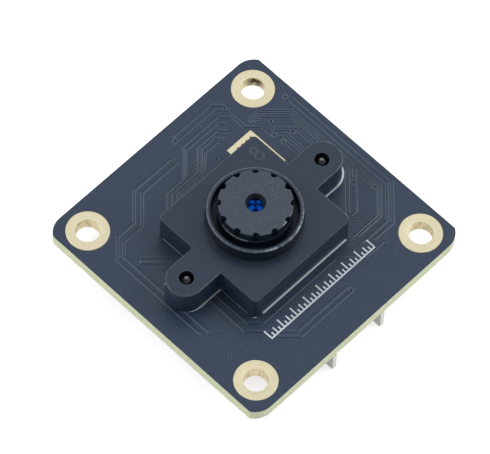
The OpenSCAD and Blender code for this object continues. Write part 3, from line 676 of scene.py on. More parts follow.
def nylon():
    s = Surface("natural_nylon", (0.83, 0.84, 0.76), 0.42, Subsurface_Weight=0.2,
                Subsurface_Scale=0.0008, Subsurface_Radius=(0.5, 0.5, 0.45))
    s.tint(s.grain(1.2), (0.9, 0.91, 0.85), 0.8)
    s.tint(s.worn(0.15, 0.5, 0.7), (0.74, 0.74, 0.64), 0.5)
    return s.finish(s.grain(0.4), 0.34, 0.54, s.grain(0.12), 0.005)


def contact_brass():
    s = Surface("contact_plating", (0.78, 0.66, 0.36), 0.28, 1.0)
    s.tint(s.grain(0.3), (0.86, 0.76, 0.48), 0.8)
    return s.finish(s.grain(0.15), 0.2, 0.42, s.grain(0.09), 0.003)


def epoxy():
    s = Surface("moulding_compound", (0.018, 0.018, 0.02), 0.55)
    s.tint(s.worn(0.12, 0.45, 0.7, 5), (0.05, 0.05, 0.054), 0.8)
    s.tint(s.specks(0.35, 0.08), (0.1, 0.1, 0.1), 0.5)
    return s.finish(s.grain(0.15), 0.45, 0.7, s.grain(0.08), 0.008)


def fired(name, colour, dark, rough):
    """Ceramic of a chip part, darker in patches."""
    s = Surface(name, colour, rough)
    s.tint(s.grain(0.3), dark, 0.7)
    s.tint(s.grain(0.05, 3), dark, 0.4)
    return s.finish(s.grain(0.1, 3), rough * 0.8, rough * 1.3, s.grain(0.07), 0.004)


MASK, TRACE, TRACE_EDGE_AND_HIGHLIGHT, POOLED_AND_SHADED = solder_mask(), trace_mask(), trace_edge_mask_and_highlight(), pooled_mask_and_painted_shade()
VIA, LAMINATE, GOLD, WALL, INK = via_mask(), laminate(), gold_finish(), plated_wall(), ink()
PLASTIC, PLASTIC_EDGE_HIGHLIGHT, SMOOTH_SHADED = holder_plastic(), plastic_edge_highlight(), smooth_plastic_painted_shade()
LEDGE_HIGHLIGHT, LENS, BLACK_AND_SHADE, COATED_AND_REFLECTION = ledge_painted_highlight(), lens_plastic(), black_ring_and_painted_shade(), coated_glass()
CLEAR = lens_glass("clear_glass", (0.9, 0.95, 0.96))
FILTER_GLASS = lens_glass("filter_glass", (0.62, 0.84, 0.86))
STEEL, STEEL_SHADE_AND_GLINT, TIN, SOLDER = steel(), steel_painted_shade_and_glint(), tin(), solder()
NYLON, BRASS, EPOXY = nylon(), contact_brass(), epoxy()
CRYSTAL_BASE = fired("crystal_ceramic", (0.42, 0.34, 0.2), (0.3, 0.24, 0.14), 0.5)
CAPACITOR = fired("capacitor_ceramic", (0.36, 0.24, 0.13), (0.24, 0.15, 0.08), 0.45)
RESISTOR = fired("resistor_glaze", (0.016, 0.016, 0.018), (0.035, 0.035, 0.038), 0.28)
FERRITE = fired("ferrite", (0.045, 0.045, 0.048), (0.02, 0.02, 0.022), 0.55)
SILICON = fired("silicon", (0.05, 0.06, 0.08), (0.03, 0.035, 0.05), 0.15)
YELLOW = fired("capacitor_moulding", (0.72, 0.38, 0.05), (0.6, 0.3, 0.04), 0.45)
BROWN = fired("polarity_band", (0.28, 0.12, 0.03), (0.2, 0.08, 0.02), 0.5)


# ---- Board ----

# Places of the plated-through holes: those with a narrow ring, then those with a wide one.
VIAS = [(0.1, 12.3), (1.2, 10.5), (7.4, 11.5), (5.7, 10.7), (6.4, 10.7), (8.75, 13.15),
        (9.65, 9.67), (10.4, 9.55), (11.2, 8.45), (14.95, 10.65), (-8.4, 9.4), (-11.3, 5.95),
        (9.4, -10.65), (6.85, -8.25), (8.85, -7.05), (3.5, 9.25), (-12.55, -8.65)]
RINGED_VIAS = [(14.5, 9.5), (11.9, 5.85), (1.95, 14), (13.3, -5.2), (2.35, -12.25),
               (10.2, 7), (10.3, 5.65), (12.1, -3.2)]
NARROW_RING, WIDE_RING = 0.2, 0.34
VIA_RINGS = [(x, y, NARROW_RING) for x, y in VIAS] + [(x, y, WIDE_RING) for x, y in RINGED_VIAS]
VIA_R = 0.11

GROUND = box_mm("ground_pad")
GROUND_W = 1.3
GROUND_VIAS = [(8.12, 8.55), (7.47, 8.55), (6.82, 8.55), (6.17, 8.55)]
GROUND_VIA_R = 0.14


def bundle(path, count, pitch):
    """Parallel traces: path itself, and copies moved sideways to its left."""
    points = [Vector(p) for p in path]
    paths = []
    for copy in range(count):
        moved = []
        for i, p in enumerate(points):
            before = (p - points[max(i - 1, 0)]).normalized()
            after = (points[min(i + 1, len(points) - 1)] - p).normalized()
            along = (before + after).normalized()
            across = Vector((-along.y, along.x))
            turn = along.dot(after if i == 0 else before)
            moved.append(tuple(p + across * (copy * pitch) / max(MITRE_LIMIT, turn)))
        paths.append(moved)
    return paths


def top_traces():
    """Paths of the traces on the board's top face, with their widths."""
    wide = [
        [(0, 12.75), (-5.6, 12.75), (-8.45, 9.9), (-10.95, 9.9), (-12.95, 7.9), (-12.95, -4.6)],
        [(0.3, 11.9), (-5.2, 11.9), (-8.1, 9), (-10.9, 9), (-12.15, 7.75), (-12.15, -5)],
        [(-11.4, 5.95), (-8.9, 3.45), (-8.9, 1)],
        [(-8.4, -2), (-8.4, -7.3), (-7.3, -8.4), (4, -8.4), (6.2, -10.6), (9.1, -10.6)],
        [(-9.3, -2), (-9.3, -7.8), (-5.4, -11.7), (2.3, -11.7)],
        [(-8, -9.95), (-5.55, -12.4), (2.2, -12.4)],
        [(12.4, -1.4), (8, -5.8)],
        [(12.9, -1.55), (8.9, -5.55)],
        [(2.2, 14.55), (7.8, 14.55), (8.9, 13.45)],
        [(14.5, 9.1), (14.55, 9), (14.55, -5.85), (11.3, -9.1), (7.4, -9.1)],
        [(15.15, 9), (15.15, -6.05), (11.5, -9.7), (8.6, -9.7)],
    ]
    fine = [
        [(1.6, 13.8), (7.7, 13.8), (8.9, 12.6), (8.9, 10.3)],
        [(-6.2, 7.1), (-3.3, 10), (-0.8, 10), (2.1, 12.9), (7.4, 12.9), (8.5, 11.8),
         (8.5, 10.1), (9.9, 8.7), (9.9, 7.2)],
        [(-0.4, 9.95), (1.97, 12.32), (6.8, 12.32), (7.4, 11.72)],
        [(-5.4, 7.1), (-2.9, 9.6), (1, 9.6), (3.1, 11.7), (6.2, 11.7), (6.85, 11.05)],
        [(-4.6, 7.1), (-2.5, 9.2), (1.2, 9.2), (3.3, 11.3), (5.15, 11.3), (5.6, 10.85)],
        [(-4, 7.1), (-2.2, 8.9), (1.45, 8.9), (3.2, 10.65), (5.2, 10.65)],
        [(12.4, -2.65), (13.1, -1.95), (13.1, 7.35), (10.75, 9.7), (9.9, 9.7)],
        [(9.1, -5.95), (9.76, -5.95), (13.38, -2.33), (13.38, 7.47), (10.87, 9.98), (9.5, 9.98)],
        [(13.3, -3), (13.3, -4.4), (13, -4.7)],
        [(7.3, -7.9), (11, -7.9), (13.66, -5.24), (13.66, 7.58), (10.98, 10.26), (9.5, 10.26)],
        [(7.6, -8.24), (11.2, -8.24), (13.94, -5.5), (13.94, 7.7), (11.1, 10.54), (9.9, 10.54)],
        [(10.3, 2), (10.3, 5.4)],
        [(-10.95, 6.35), (-8.3, 3.7), (-8.3, 1)],
    ]
    fine += bundle([(10.75, 2), (10.75, 6.2), (10.45, 6.5)], 3, -0.35)
    fine += bundle([(12.35, 2), (12.35, 5.7), (10.6, 7.45)], 2, -0.3)
    wide_w, fine_w = 0.27, 0.12
    return [(path, wide_w) for path in wide] + [(path, fine_w) for path in fine]


def ground_outline(grow=0.0):
    """L-shaped pad: one arm along X, one along Y."""
    (x0, y0, _), (x1, y1, _) = GROUND
    x0, y0, x1, y1 = x0 - grow, y0 - grow, x1 + grow, y1 + grow
    inner_x, inner_y = GROUND[1].x - GROUND_W - grow, GROUND[1].y - GROUND_W - grow
    return [(x0, inner_y), (inner_x, inner_y), (inner_x, y0), (x1, y0), (x1, y1), (x0, y1)]


def ground_holes():
    return [circle(x, y, GROUND_VIA_R, 16) for x, y in GROUND_VIAS]


def holes(plated_r, plated_steps):
    """Outlines of the plated holes, screw holes and vias."""
    return ([circle(h.x, h.y, plated_r, plated_steps) for h in PLATED_HOLES]
            + [circle(p.x, p.y, SCREW_HOLE_R, 32) for p in SCREWS]
            + [circle(x, y, VIA_R + MASK_GAP, 16) for x, y, _ in VIA_RINGS])


def laminate_core():
    """The board's glass-fibre core, drilled, with slightly uneven edges."""
    s = Shape()
    low, high = BACK_Z + MASK_T, -MASK_T
    edge, torn = 0.03, 0.5
    levels = [(edge, low), (0.0, low + edge), (0.0, low + torn), (0.0, high - torn),
              (0.0, high - edge), (edge, high)]
    sides = [s.loop(rough_outline(inset, k), z) for k, (inset, z) in enumerate(levels)]
    s.plate(sides, holes(DRILL_R, 48) + ground_holes())
    s.object("board_laminate", [LAMINATE], "board", "circuit_board")


def mask_skin(name, outer_z, inner_z, openings):
    """Film of solder mask on one face of the board, open over the bare pads."""
    s = Shape()
    bevel = 0.015

    def outline(inset):
        return board_outline(MASK_GAP + inset)

    side = 1 if outer_z > inner_z else -1
    sides = [s.loop(outline(0.0), inner_z)] + s.rounded_edge(outline, outer_z, bevel, side)
    s.plate(sides, holes(RING_R + MASK_GAP, 64) + openings)
    s.object(name, [MASK], "board")


def traces(name, paths, side):
    """Copper traces under the mask, as low ridges on one face."""
    s = Shape()
    height, slope = 0.022, 0.07
    for path, width in paths:
        s.strip(path, width, side, height, slope)

    def paint(centre, normal):
        """Thin pale mask with a painted highlight on the copper edges that face one way, thick
        dark mask with painted shade on the others.
        """
        if abs(normal.z) > 0.98:
            return 0
        tilt = (normal.x + normal.y) / math.hypot(normal.x, normal.y)
        return 1 if -1.2 < tilt < 0.1 or tilt > 1.2 else 2

    s.object(name, [TRACE, TRACE_EDGE_AND_HIGHLIGHT, POOLED_AND_SHADED], "board", smooth=20, paint=paint)


def vias():
    """Plated-through holes under the mask: a tube with a low ring at each end."""
    s = Shape()
    lift, edge, r = 0.018, 0.03, VIA_R
    for x, y, ring in VIA_RINGS:
        s.turned([(r + MASK_GAP, 0.005), (ring, 0.002), (ring - 0.06, lift), (r + 0.05, lift),
                  (r, lift - edge), (r - 0.02, BACK_Z + 0.4), (r, BACK_Z - lift + edge),
                  (r + 0.05, BACK_Z - lift), (ring - 0.06, BACK_Z - lift),
                  (ring, BACK_Z - 0.005), (r + MASK_GAP, BACK_Z - 0.005)], x, y, 20, closed=True)

    def paint(centre, normal):
        if abs(normal.z) < 0.6 and BACK_Z < centre.z < 0.0:
            return 1
        return 2 if 0.6 < abs(normal.z) < 0.99 else 0

    s.object("tented_vias", [MASK, VIA, TRACE_EDGE_AND_HIGHLIGHT], "board", paint=paint)


def plating():
    """Gold-flashed sleeves with a ring on each face of the board."""
    s = Shape()
    top, low = PLATE_TOP, BACK_Z - PLATE_TOP
    edge, mouth, depth = 0.02, 0.07, 0.5
    upper = [(DRILL_R, 0.0), (RING_R, 0.0), (RING_R, top - edge), (RING_R - edge, top),
             (HOLE_R + mouth, top), (HOLE_R + edge, top - edge), (HOLE_R, top - mouth),
             (HOLE_R, -depth)]
    lower = [(r, BACK_Z - z) for r, z in upper[::-1]]
    for hole in PLATED_HOLES:
        s.turned(upper + lower, hole.x, hole.y, 72, closed=True)
    s.object("hole_plating", [GOLD, WALL], "gold", "mounting_hole_plating",
             paint=lambda c, n: 1 if abs(n.z) < 0.3 and low + 0.05 < c.z < top - 0.05 else 0)


def ground_pad():
    """Bare L-shaped pad with open vias along one arm."""
    s = Shape()
    top, bevel = GROUND[1].z, 0.015
    r, inner_r, well_z = GROUND_VIA_R, GROUND_VIA_R - 0.02, BACK_Z + 0.1
    sides = [s.loop(ground_outline(grow), z)
             for grow, z in ((0.0, 0.0), (0.0, top - bevel), (-bevel, top))]
    s.walls(*sides)
    tubes = [s.rings([(inner_r, top), (inner_r, well_z), (r, well_z), (r, 0.0)], x, y, 16)
             for x, y in GROUND_VIAS]
    s.fill(sides[0], *[tube[-1] for tube in tubes])
    s.fill(sides[-1], *[tube[0] for tube in tubes])
    s.object("ground_pad_gold", [GOLD, WALL], "gold", "ground_pad",
             paint=lambda c, n: 1 if c.z < 0.01 and abs(n.z) < 0.5 else 0)


# ---- Printed marks ----

PRINT_T = 0.032
PRINT_SLOPE = 0.01
OUTLINE_W = 0.2
OUTLINE_HALF = 7.59
OUTLINE_LEFT = 7.5
SPAN = 6.4
PRINT_EAR_R = 2.36


def top_print():
    """White footprint of the holder, with a little of it showing round the moulding."""
    s = Shape()

    def line(path):
        s.strip(path, OUTLINE_W, 1, PRINT_T, PRINT_SLOPE)

    for y in (-OUTLINE_HALF, OUTLINE_HALF):
        line([(-SPAN, y), (SPAN, y)])
    corner = BODY_HALF - BODY_CORNER_R
    line(arc(AXIS.x - corner, AXIS.y - corner, BODY_CORNER_R - 0.06, 205, 250, 6))
    for side, half, reach, stops in ((-1, OUTLINE_LEFT, 10.45, (-28, 66)),
                                     (1, OUTLINE_HALF, 10.4, (0, 0))):
        for y in (-1, 1):
            line([(side * half, y * PRINT_EAR_R), (side * half, y * SPAN)])
        for start, end in zip((-90, 90), stops):
            ear = [(side * x, y) for x, y in arc(reach, 0, PRINT_EAR_R, start, end, 12)]
            line([(side * half, ear[0][1])] + ear)
    s.object("printed_outline", [INK], "board", smooth=20)


def ruled_scale():
    """Plain ruled scale of short and long strokes."""
    s = Shape()
    low, length, count, width, overlap = -10.4, 15.8, 32, 0.16, 0.05
    tall, medium, short = 1.2, 0.864, 0.54
    end = length / 2 + overlap
    s.strip([(-end, low), (end, low)], width, 1, PRINT_T, PRINT_SLOPE)
    for i in range(count + 1):
        height = tall if i % 4 == 0 else medium if i % 2 == 0 else short
        x = -length / 2 + i * length / count
        s.strip([(x, low + overlap), (x, low + height)], width, 1, PRINT_T, PRINT_SLOPE)
    s.object("printed_scale", [INK], "board", smooth=20)


# ---- Lens holder ----

def holder_paint(centre, normal):
    """Smooth plastic as painted shade inside the mouth and screw holes and on the collar's sides,
    and painted highlights on the outer edges.
    """
    reach = math.dist((centre.x, centre.y), (AXIS.x, AXIS.y))
    # Inside the mouth and the screw holes: smooth plastic as painted shade.
    if reach < MOUTH_R + 0.05 and centre.z < RIM_Z - 0.01:
        return 2
    if min(math.dist((centre.x, centre.y), (p.x, p.y)) for p in SCREWS) < SCREW_HOLE_R + 0.01:
        return 2
    on_ear = abs(centre.x - AXIS.x) > BODY_HALF + 0.2
    shoulder = (abs(centre.z - HOLDER_H) < 0.12 and reach > COLLAR_R + 0.3
                and 0.12 < normal.z < 0.97 and (on_ear or normal.x + normal.y > 0))
    rim = centre.z > RIM_Z - 0.15 and reach > COLLAR_R - 0.2 and 0.6 < normal.z < 0.997
    # The shoulder and rim edges get the painted highlight.
    if shoulder or rim:
        return 1
    # The collar's sides and foot get the smooth plastic as painted shade.
    collar = HOLDER_H < centre.z < RIM_Z - 0.1 and MOUTH_R + 0.1 < reach < COLLAR_R + 0.2
    return 2 if collar and normal.z < 0.97 else 0


def lens_holder():
    """One moulding: hollow body, screw ears and a round collar with a threaded bore."""
    s = Shape()
    edge, bevel, fillet, soft, land, lip = 0.05, 0.1, 0.15, 0.22, 0.06, 0.06
    filter_low, filter_top = FILTER[0].z, FILTER[1].z

    sides = [s.loop(holder_outline(edge), 0.0), s.loop(holder_outline(0.0), edge)]
    sides += s.rounded_edge(holder_outline, HOLDER_H, bevel)
    sides.append(s.loop(holder_outline(bevel + land), HOLDER_H))
    s.walls(*sides)

    profile = [(COLLAR_R + fillet + land, HOLDER_H)]
    for turn in [math.radians(90 + 30 * k) for k in range(4)]:
        profile.append((COLLAR_R + fillet + fillet * math.cos(turn),
                        HOLDER_H + fillet - fillet * math.sin(turn)))
    for turn in [math.radians(15 * k) for k in range(7)]:
        profile.append((COLLAR_R - soft + soft * math.cos(turn),
                        RIM_Z - soft + soft * math.sin(turn)))
    profile += [(MOUTH_R + lip, RIM_Z), (MOUTH_R + 0.02, RIM_Z - 0.02),
                (MOUTH_R, RIM_Z - lip), (MOUTH_R, MOUTH_Z + lip),
                (MOUTH_R - lip, MOUTH_Z), (BORE_R + 0.18, MOUTH_Z)]
    collar = s.rings(profile, AXIS.x, AXIS.y, 96)
    thread_low, thread_high = s.thread(AXIS.x, AXIS.y, BORE_R - 0.02, 0.16, LENS_PITCH,
                                       filter_top + 0.3, MOUTH_Z - 0.18, 96)
    s.bridge(collar[-1], thread_high)
    bore = s.loop(circle(AXIS.x, AXIS.y, BORE_R, 96), filter_top)
    s.bridge(thread_low, bore)

    def square(half, z):
        return s.loop(rectangle(AXIS, AXIS, -half), z)

    pocket = (FILTER[1].x - FILTER[0].x) / 2 + FILTER_PLAY
    pocket_roof, pocket_foot = square(pocket, filter_top), square(pocket, filter_low)
    cavity_roof, cavity_foot = square(CAVITY_HALF, filter_low), square(CAVITY_HALF, 0.0)
    s.fill(pocket_roof, bore)
    s.bridge(pocket_roof, pocket_foot)
    s.fill(cavity_roof, pocket_foot)
    s.bridge(cavity_roof, cavity_foot)

    r, top = SCREW_HOLE_R, HOLDER_H
    wells = [s.rings([(r, 0.0), (r, top - 0.08), (r + 0.02, top - 0.02), (r + 0.07, top),
                      (r + 0.11, top)], p.x, p.y) for p in SCREWS]
    s.fill(sides[0], cavity_foot, *[well[0] for well in wells])
    s.fill(sides[-1], collar[0], *[well[-1] for well in wells])
    s.object("lens_holder_moulding", [PLASTIC, PLASTIC_EDGE_HIGHLIGHT, SMOOTH_SHADED], "holder_plastic",
             "lens_holder", paint=holder_paint)


def cavity_number():
    """Low raised 8 that tells the mould's cavities apart, from two round rings."""
    s = Shape()
    x, half_line, slope = 5.6, 0.13, 0.06
    for y, r, height in ((5.75, 0.36, 0.04), (4.87, 0.46, 0.05)):
        top, foot = HOLDER_H + height, HOLDER_H - 0.02
        s.turned([(r - half_line - slope, foot), (r - half_line, top), (r + half_line, top),
                  (r + half_line + slope, foot)], x, y, 32, closed=True)
    s.object("cavity_number", [LENS], "holder_plastic")


def holder_screws():
    """Two cross-recessed pan-head self-tapping screws, driven from under the board."""
    s = Shape()
    r, head_r, neck, pitch = 0.8, 1.4, 0.62, 0.6
    slot, arm, tip_r = 0.17, 0.75, 0.17
    point, narrowing = 0.5, 0.62
    cross = []
    for k in range(4):
        cross += turned_by([(slot, -slot), (arm, -slot), (arm, slot)], k * TAU / 4)
    for p in SCREWS:
        head = s.rings([(head_r * 0.62, SCREW_LOW), (head_r * 0.8, SCREW_LOW + 0.06),
                        (head_r * 0.93, SCREW_LOW + 0.2), (head_r, SCREW_LOW + 0.45),
                        (head_r, BACK_Z - 0.06), (head_r - 0.06, BACK_Z - 0.01),
                        (r, BACK_Z - 0.01), (neck, BACK_Z + 0.15)], p.x, p.y)
        recess = [s.loop([(p.x + x * f, p.y + y * f) for x, y in cross], SCREW_LOW + depth)
                  for f, depth in ((1, 0.0), (0.82, 0.4), (0.3, 0.5))]
        s.walls(*recess)
        s.fill(recess[-1])
        s.fill(head[0], recess[0])
        foot, tip = s.thread(p.x, p.y, neck, r - neck, pitch, BACK_Z + 0.3, SCREW_TIP - 0.08,
                             taper=lambda z: 1 - narrowing * max(0.0, 1 + (z - SCREW_TIP) / point))
        s.bridge(head[-1], foot)
        dome = s.loop(circle(p.x, p.y, tip_r), SCREW_TIP - 0.02)
        s.bridge(tip, dome)
        s.cap(dome, SCREW_TIP)
    # Above 1.5 mm the screws get the darkened steel as painted shade.
    s.object("self_tapping_screws", [STEEL, STEEL_SHADE_AND_GLINT], "steel", "holder_screws",
             paint=lambda c, n: 1 if c.z > 1.5 else 0)


# ---- Lens ----

def lens_paint(centre, normal):
    """Grained face, smooth sides and blackened bore as painted shade, and painted highlights on
    the ledge and on torn edges in places.
    """
    x, y = centre.x - AXIS.x, centre.y - AXIS.y
    reach, turn = math.hypot(x, y), math.degrees(math.atan2(y, x)) % 360
    # The bore gets the blackened material as painted shade.
    if reach < OPENING_R and normal.z < 0.95:
        return 2
    slanted = 0.1 < normal.z < 0.98
    # Torn notch edges towards the lower right get the edge material with its painted highlight.
    torn = slanted and centre.z > TOP_Z - 0.08 and 270 < turn < 350
    if torn and reach > GRIP_R - 0.6 and noise.noise(Vector((x * 2.5, y * 2.5, 0))) > -0.2:
        return 3
    # The flange's edge on one side gets a painted highlight.
    if slanted and reach > GRIP_R and centre.z < GRIP_Z + 0.01 and 165 < turn < 212:
        return 4
    # Below the grained face, the sides get the smooth plastic as painted shade.
    return 0 if centre.z > TOP_Z - 0.08 else 1


def lens_barrel():
    """One moulding: threaded barrel, flange and notched grip, with stepped seats inside."""
    s = Shape()
    foot_z = BARREL[0].z
    thread_r, lead, burr, play = BORE_R - 0.05, 0.12, 0.1, 0.02

    foot, neck = s.thread(AXIS.x, AXIS.y, thread_r - 0.14, 0.14, LENS_PITCH, foot_z + lead,
                          FLANGE_Z - 0.05, 96)
    flange = s.rings([(thread_r - 0.1, FLANGE_Z), (FLANGE_R - 0.06, FLANGE_Z),
                      (FLANGE_R - 0.02, FLANGE_Z + 0.02), (FLANGE_R, FLANGE_Z + 0.06),
                      (FLANGE_R, GRIP_Z - 0.2), (FLANGE_R - 0.018, GRIP_Z - 0.09),
                      (FLANGE_R - 0.04, GRIP_Z - 0.03), (FLANGE_R - 0.065, GRIP_Z)],
                     AXIS.x, AXIS.y, 96)
    s.bridge(neck, flange[0])
    grip = [s.loop(grip_outline(inset, rough), z) for inset, rough, z in (
        (0.0, 0.0, GRIP_Z), (0.0, burr, TOP_Z - 0.45), (0.0, burr, TOP_Z - 0.07),
        (0.02, burr, TOP_Z - 0.02), (0.07, 0.0, TOP_Z), (0.11, 0.0, TOP_Z))]
    s.walls(*grip)
    s.fill(flange[-1], grip[0])

    elements = [box_mm(name)[1] for name in ELEMENTS]
    steps = [TOP_Z - 0.5] + [high.z for high in elements[1:]] + [foot_z]
    bore = [(OPENING_R + 0.1, TOP_Z), (OPENING_R + 0.04, TOP_Z), (OPENING_R + 0.01, TOP_Z - 0.01),
            (OPENING_R, TOP_Z - 0.04), (THROAT_R, steps[0])]
    for high, front, back in zip(elements, steps, steps[1:]):
        seat_r = high.x - AXIS.x + play
        bore += [(seat_r, front), (seat_r, back)]
    inside = s.rings(bore, AXIS.x, AXIS.y, 96)
    s.fill(grip[-1], inside[0])
    lip = s.loop(circle(AXIS.x, AXIS.y, thread_r - 0.2, 96), foot_z)
    s.bridge(foot, lip)
    s.bridge(lip, inside[-1])
    s.object("lens_barrel_moulding", [LENS, SMOOTH_SHADED, BLACK_AND_SHADE, PLASTIC_EDGE_HIGHLIGHT, LEDGE_HIGHLIGHT], "lens_plastic",
             "lens_barrel", body="lens", paint=lens_paint)


def element(name, front_r, front_dome, back_r, back_dome, surface, slot):
    """Lens element: flat rim, curved faces. A negative dome is hollow."""
    s = Shape()
    low, high = box_mm(name)
    r, edge, steps = high.x - AXIS.x, 0.03, 10
    z1, z0 = high.z - max(front_dome, 0), low.z + max(back_dome, 0)
    curve = [(k / steps, 1 - (k / steps) ** 2) for k in range(steps + 1)]
    profile = [(front_r * out, z1 + front_dome * rise) for out, rise in curve]
    profile += [(r - edge, z1), (r, z1 - edge), (r, z0 + edge), (r - edge, z0)]
    profile += [(back_r * out, z0 - back_dome * rise) for out, rise in curve[::-1]]
    s.turned(profile, AXIS.x, AXIS.y, 64)
    s.object(name + "_glass", [surface], slot, name, body="lens")


# ---- Underside ----

BOTTOM_VIAS = [(-12.35, 0), (0.2, -8.75), (-1.4, -7.85), (-9.8, -6), (-11.6, -4.4), (-4.6, -6.4),
               (4.6, 0.6), (5.4, 1.8), (5.2, -1.2), (6.3, -0.4), (-12.6, 6.6), (-10.2, 11.2),
               (11.6, -6.4), (10.8, -7.6), (12.4, 3.6), (12.6, 1.8), (-9.2, 13.9), (0.2, 14.6),
               (-2.2, 14.2), (11.2, -11), (-3, 8.4), (-0.6, 9.6), (5.8, 6.4), (4.2, 5.4)]
LEADS = [("flash_leads", "flash_memory"), ("protector_leads", "surge_protector"),
         ("regulator_leads", "voltage_regulators"), ("header_contacts", "header_housing"),
         ("bulk_capacitor_leads", "bulk_capacitor"), ("header_solder_tabs", "header_housing")]
FOOT_Z = BACK_Z + 0.005


def stick_out(lead, package):
    """How far a lead reaches past its package, along which axis and to which side."""
    return max([(lead[1][axis] - package[1][axis], axis, 1) for axis in (0, 1)]
               + [(package[0][axis] - lead[0][axis], axis, -1) for axis in (0, 1)])


def walk_leads(leads, bodies):
    """Each lead's box and middle, the place of its outer end, and what stick_out says."""
    packages = islands(bodies)
    for box in islands(leads):
        centre = middle(box)
        far, axis, side = stick_out(box, nearest(packages, centre))
        yield box, centre, box[1 if side > 0 else 0][axis], far, axis, side


def bottom_traces():
    """Paths of the longer traces on the underside, with their widths."""
    wide = [
        [(7.4, -11.1), (7.4, -11.6), (6.6, -12.4), (6.3, -12.4)],
        [(7.4, -7.35), (7.4, -7.1), (6.95, -6.65)],
        [(8.6, -4.35), (7.9, -3.65), (7.9, 2.3), (6.6, 3.6)],
        [(-7.4, 11.45), (-7.4, 10.4), (-8.6, 9.2), (-12.4, 9.2), (-14.9, 6.7), (-14.9, -8),
         (-12.7, -10.2), (-8.95, -10.2)],
        [(-9.6, -11.8), (-9.6, -11.5), (-9.25, -11.15), (-8.95, -11.15)],
        [(-6.6, -13.6), (-5.2, -13.6)],
        [(10.2, 6.85), (10.2, 7.3)],
    ]
    fine = [
        [(-13.2, 3.2), (-9, 3.2), (-7.05, 1.25), (-5.1, 1.25)],
        [(-13.2, 1.6), (-12.95, 1.6), (-12.35, 2.2), (-8.6, 2.2), (-7.15, 0.75), (-5.1, 0.75)],
        [(-13.2, -1.6), (-12.95, -1.6), (-12.35, -2.2), (-9.3, -2.2), (-6.85, 0.25),
         (-5.1, 0.25)],
        [(-13.2, -3.2), (-8.9, -3.2), (-7.4, -1.7), (-5.7, -1.7), (-5.25, -1.25), (-5.1, -1.25)],
        [(-13.2, 0), (-12.5, 0)],
        [(-6.9, 5.6), (-6.55, 5.6), (-5.2, 4.25), (-5.1, 4.25)],
        [(-6.9, 7.2), (-6, 7.2), (-4.25, 5.45), (-4.25, 5.1)],
        [(-0.25, 5.1), (-0.25, 5.6), (0.7, 6.55), (0.7, 7.4)],
        [(0.25, 5.1), (0.25, 5.5), (1.96, 7.21), (1.96, 7.4)],
        [(0.75, 5.1), (0.75, 5.2), (3, 7.45)],
        [(1.25, 5.1), (3.35, 7.2), (4.2, 7.2), (4.4, 7.4)],
        [(0.2, -10.95), (0.2, -8.9)],
        [(-3.4, -8.85), (-3.4, -8.4), (-3.1, -8.1), (-3.1, -2.7), (-2.75, -2.35), (-2.75, -2.1)],
        [(-2.4, -8.85), (-2.4, -8.4), (-2.75, -8.05), (-2.75, -3), (-2.25, -2.5), (-2.25, -2.1)],
        [(-1.4, -8.85), (-1.4, -8)],
    ]
    fine += [[(x, -10.95), (x - 0.6, -10.35)] for x in (-2.8, -1.8, -0.8)]
    fine += [[(x, -10.95), (x + 0.2, -10.75), (x + 0.2, -10.35)] for x in (1.2, 2.2)]
    fine += bundle([(9.6, -9), (12.2, -9), (14, -7.2), (14, 7.4), (12.6, 8.8),
                    (10.6, 8.8)], 3, -0.32)
    wide_w, fine_w = 0.3, 0.13
    return [(path, wide_w) for path in wide] + [(path, fine_w) for path in fine]


def fan_outs(leads, bodies, lengths, done):
    """Short traces out of the leads that no path in done reaches, and vias at their ends."""
    near, spacing, overlap, via_gap = 0.3, 0.5, 0.05, 0.1
    paths, vias_at = [], []
    reached = [Vector(p) for path, _ in done for p in (path[0], path[-1])]
    for _, centre, end, far, axis, side in walk_leads(leads, bodies):
        start = centre.xy
        start[axis] = end
        if far <= 0 or any((start - p).length < near for p in reached):
            continue
        along = Vector((0, 0))
        along[axis] = side
        length = lengths[math.floor(start[1 - axis] / spacing) % len(lengths)]
        stop = start + along * length
        paths.append([tuple(start - along * overlap), tuple(stop)])
        vias_at.append(tuple(stop + along * via_gap))
    return paths, vias_at


def bottom_circuit():
    """Traces and covered vias on the underside."""
    paths, places = bottom_traces(), list(BOTTOM_VIAS)
    for leads, bodies, lengths, width in [
            ("processor_terminals", "video_processor", (0.3, 0.66), 0.1),
            ("flash_leads", "flash_memory", (0.45,), 0.16),
            ("regulator_leads", "voltage_regulators", (0.42,), 0.24),
            ("protector_leads", "surge_protector", (0.42,), 0.24)]:
        stubs, ends = fan_outs(leads, bodies, lengths, bottom_traces())
        paths += [(path, width) for path in stubs]
        places += ends
    traces("traces_bottom", paths, -1)
    s = Shape()
    low = BACK_Z - 0.024
    for x, y in places:
        s.turned([(0, FOOT_Z), (0.18, FOOT_Z), (0.15, low), (0.11, low),
                  (0.07, BACK_Z - 0.008), (0, BACK_Z - 0.006)], x, y, 14)
    s.object("covered_vias", [MASK, VIA], "board",
             paint=lambda c, n: 1 if c.z > BACK_Z - 0.02 and n.z < -0.2 else 0)


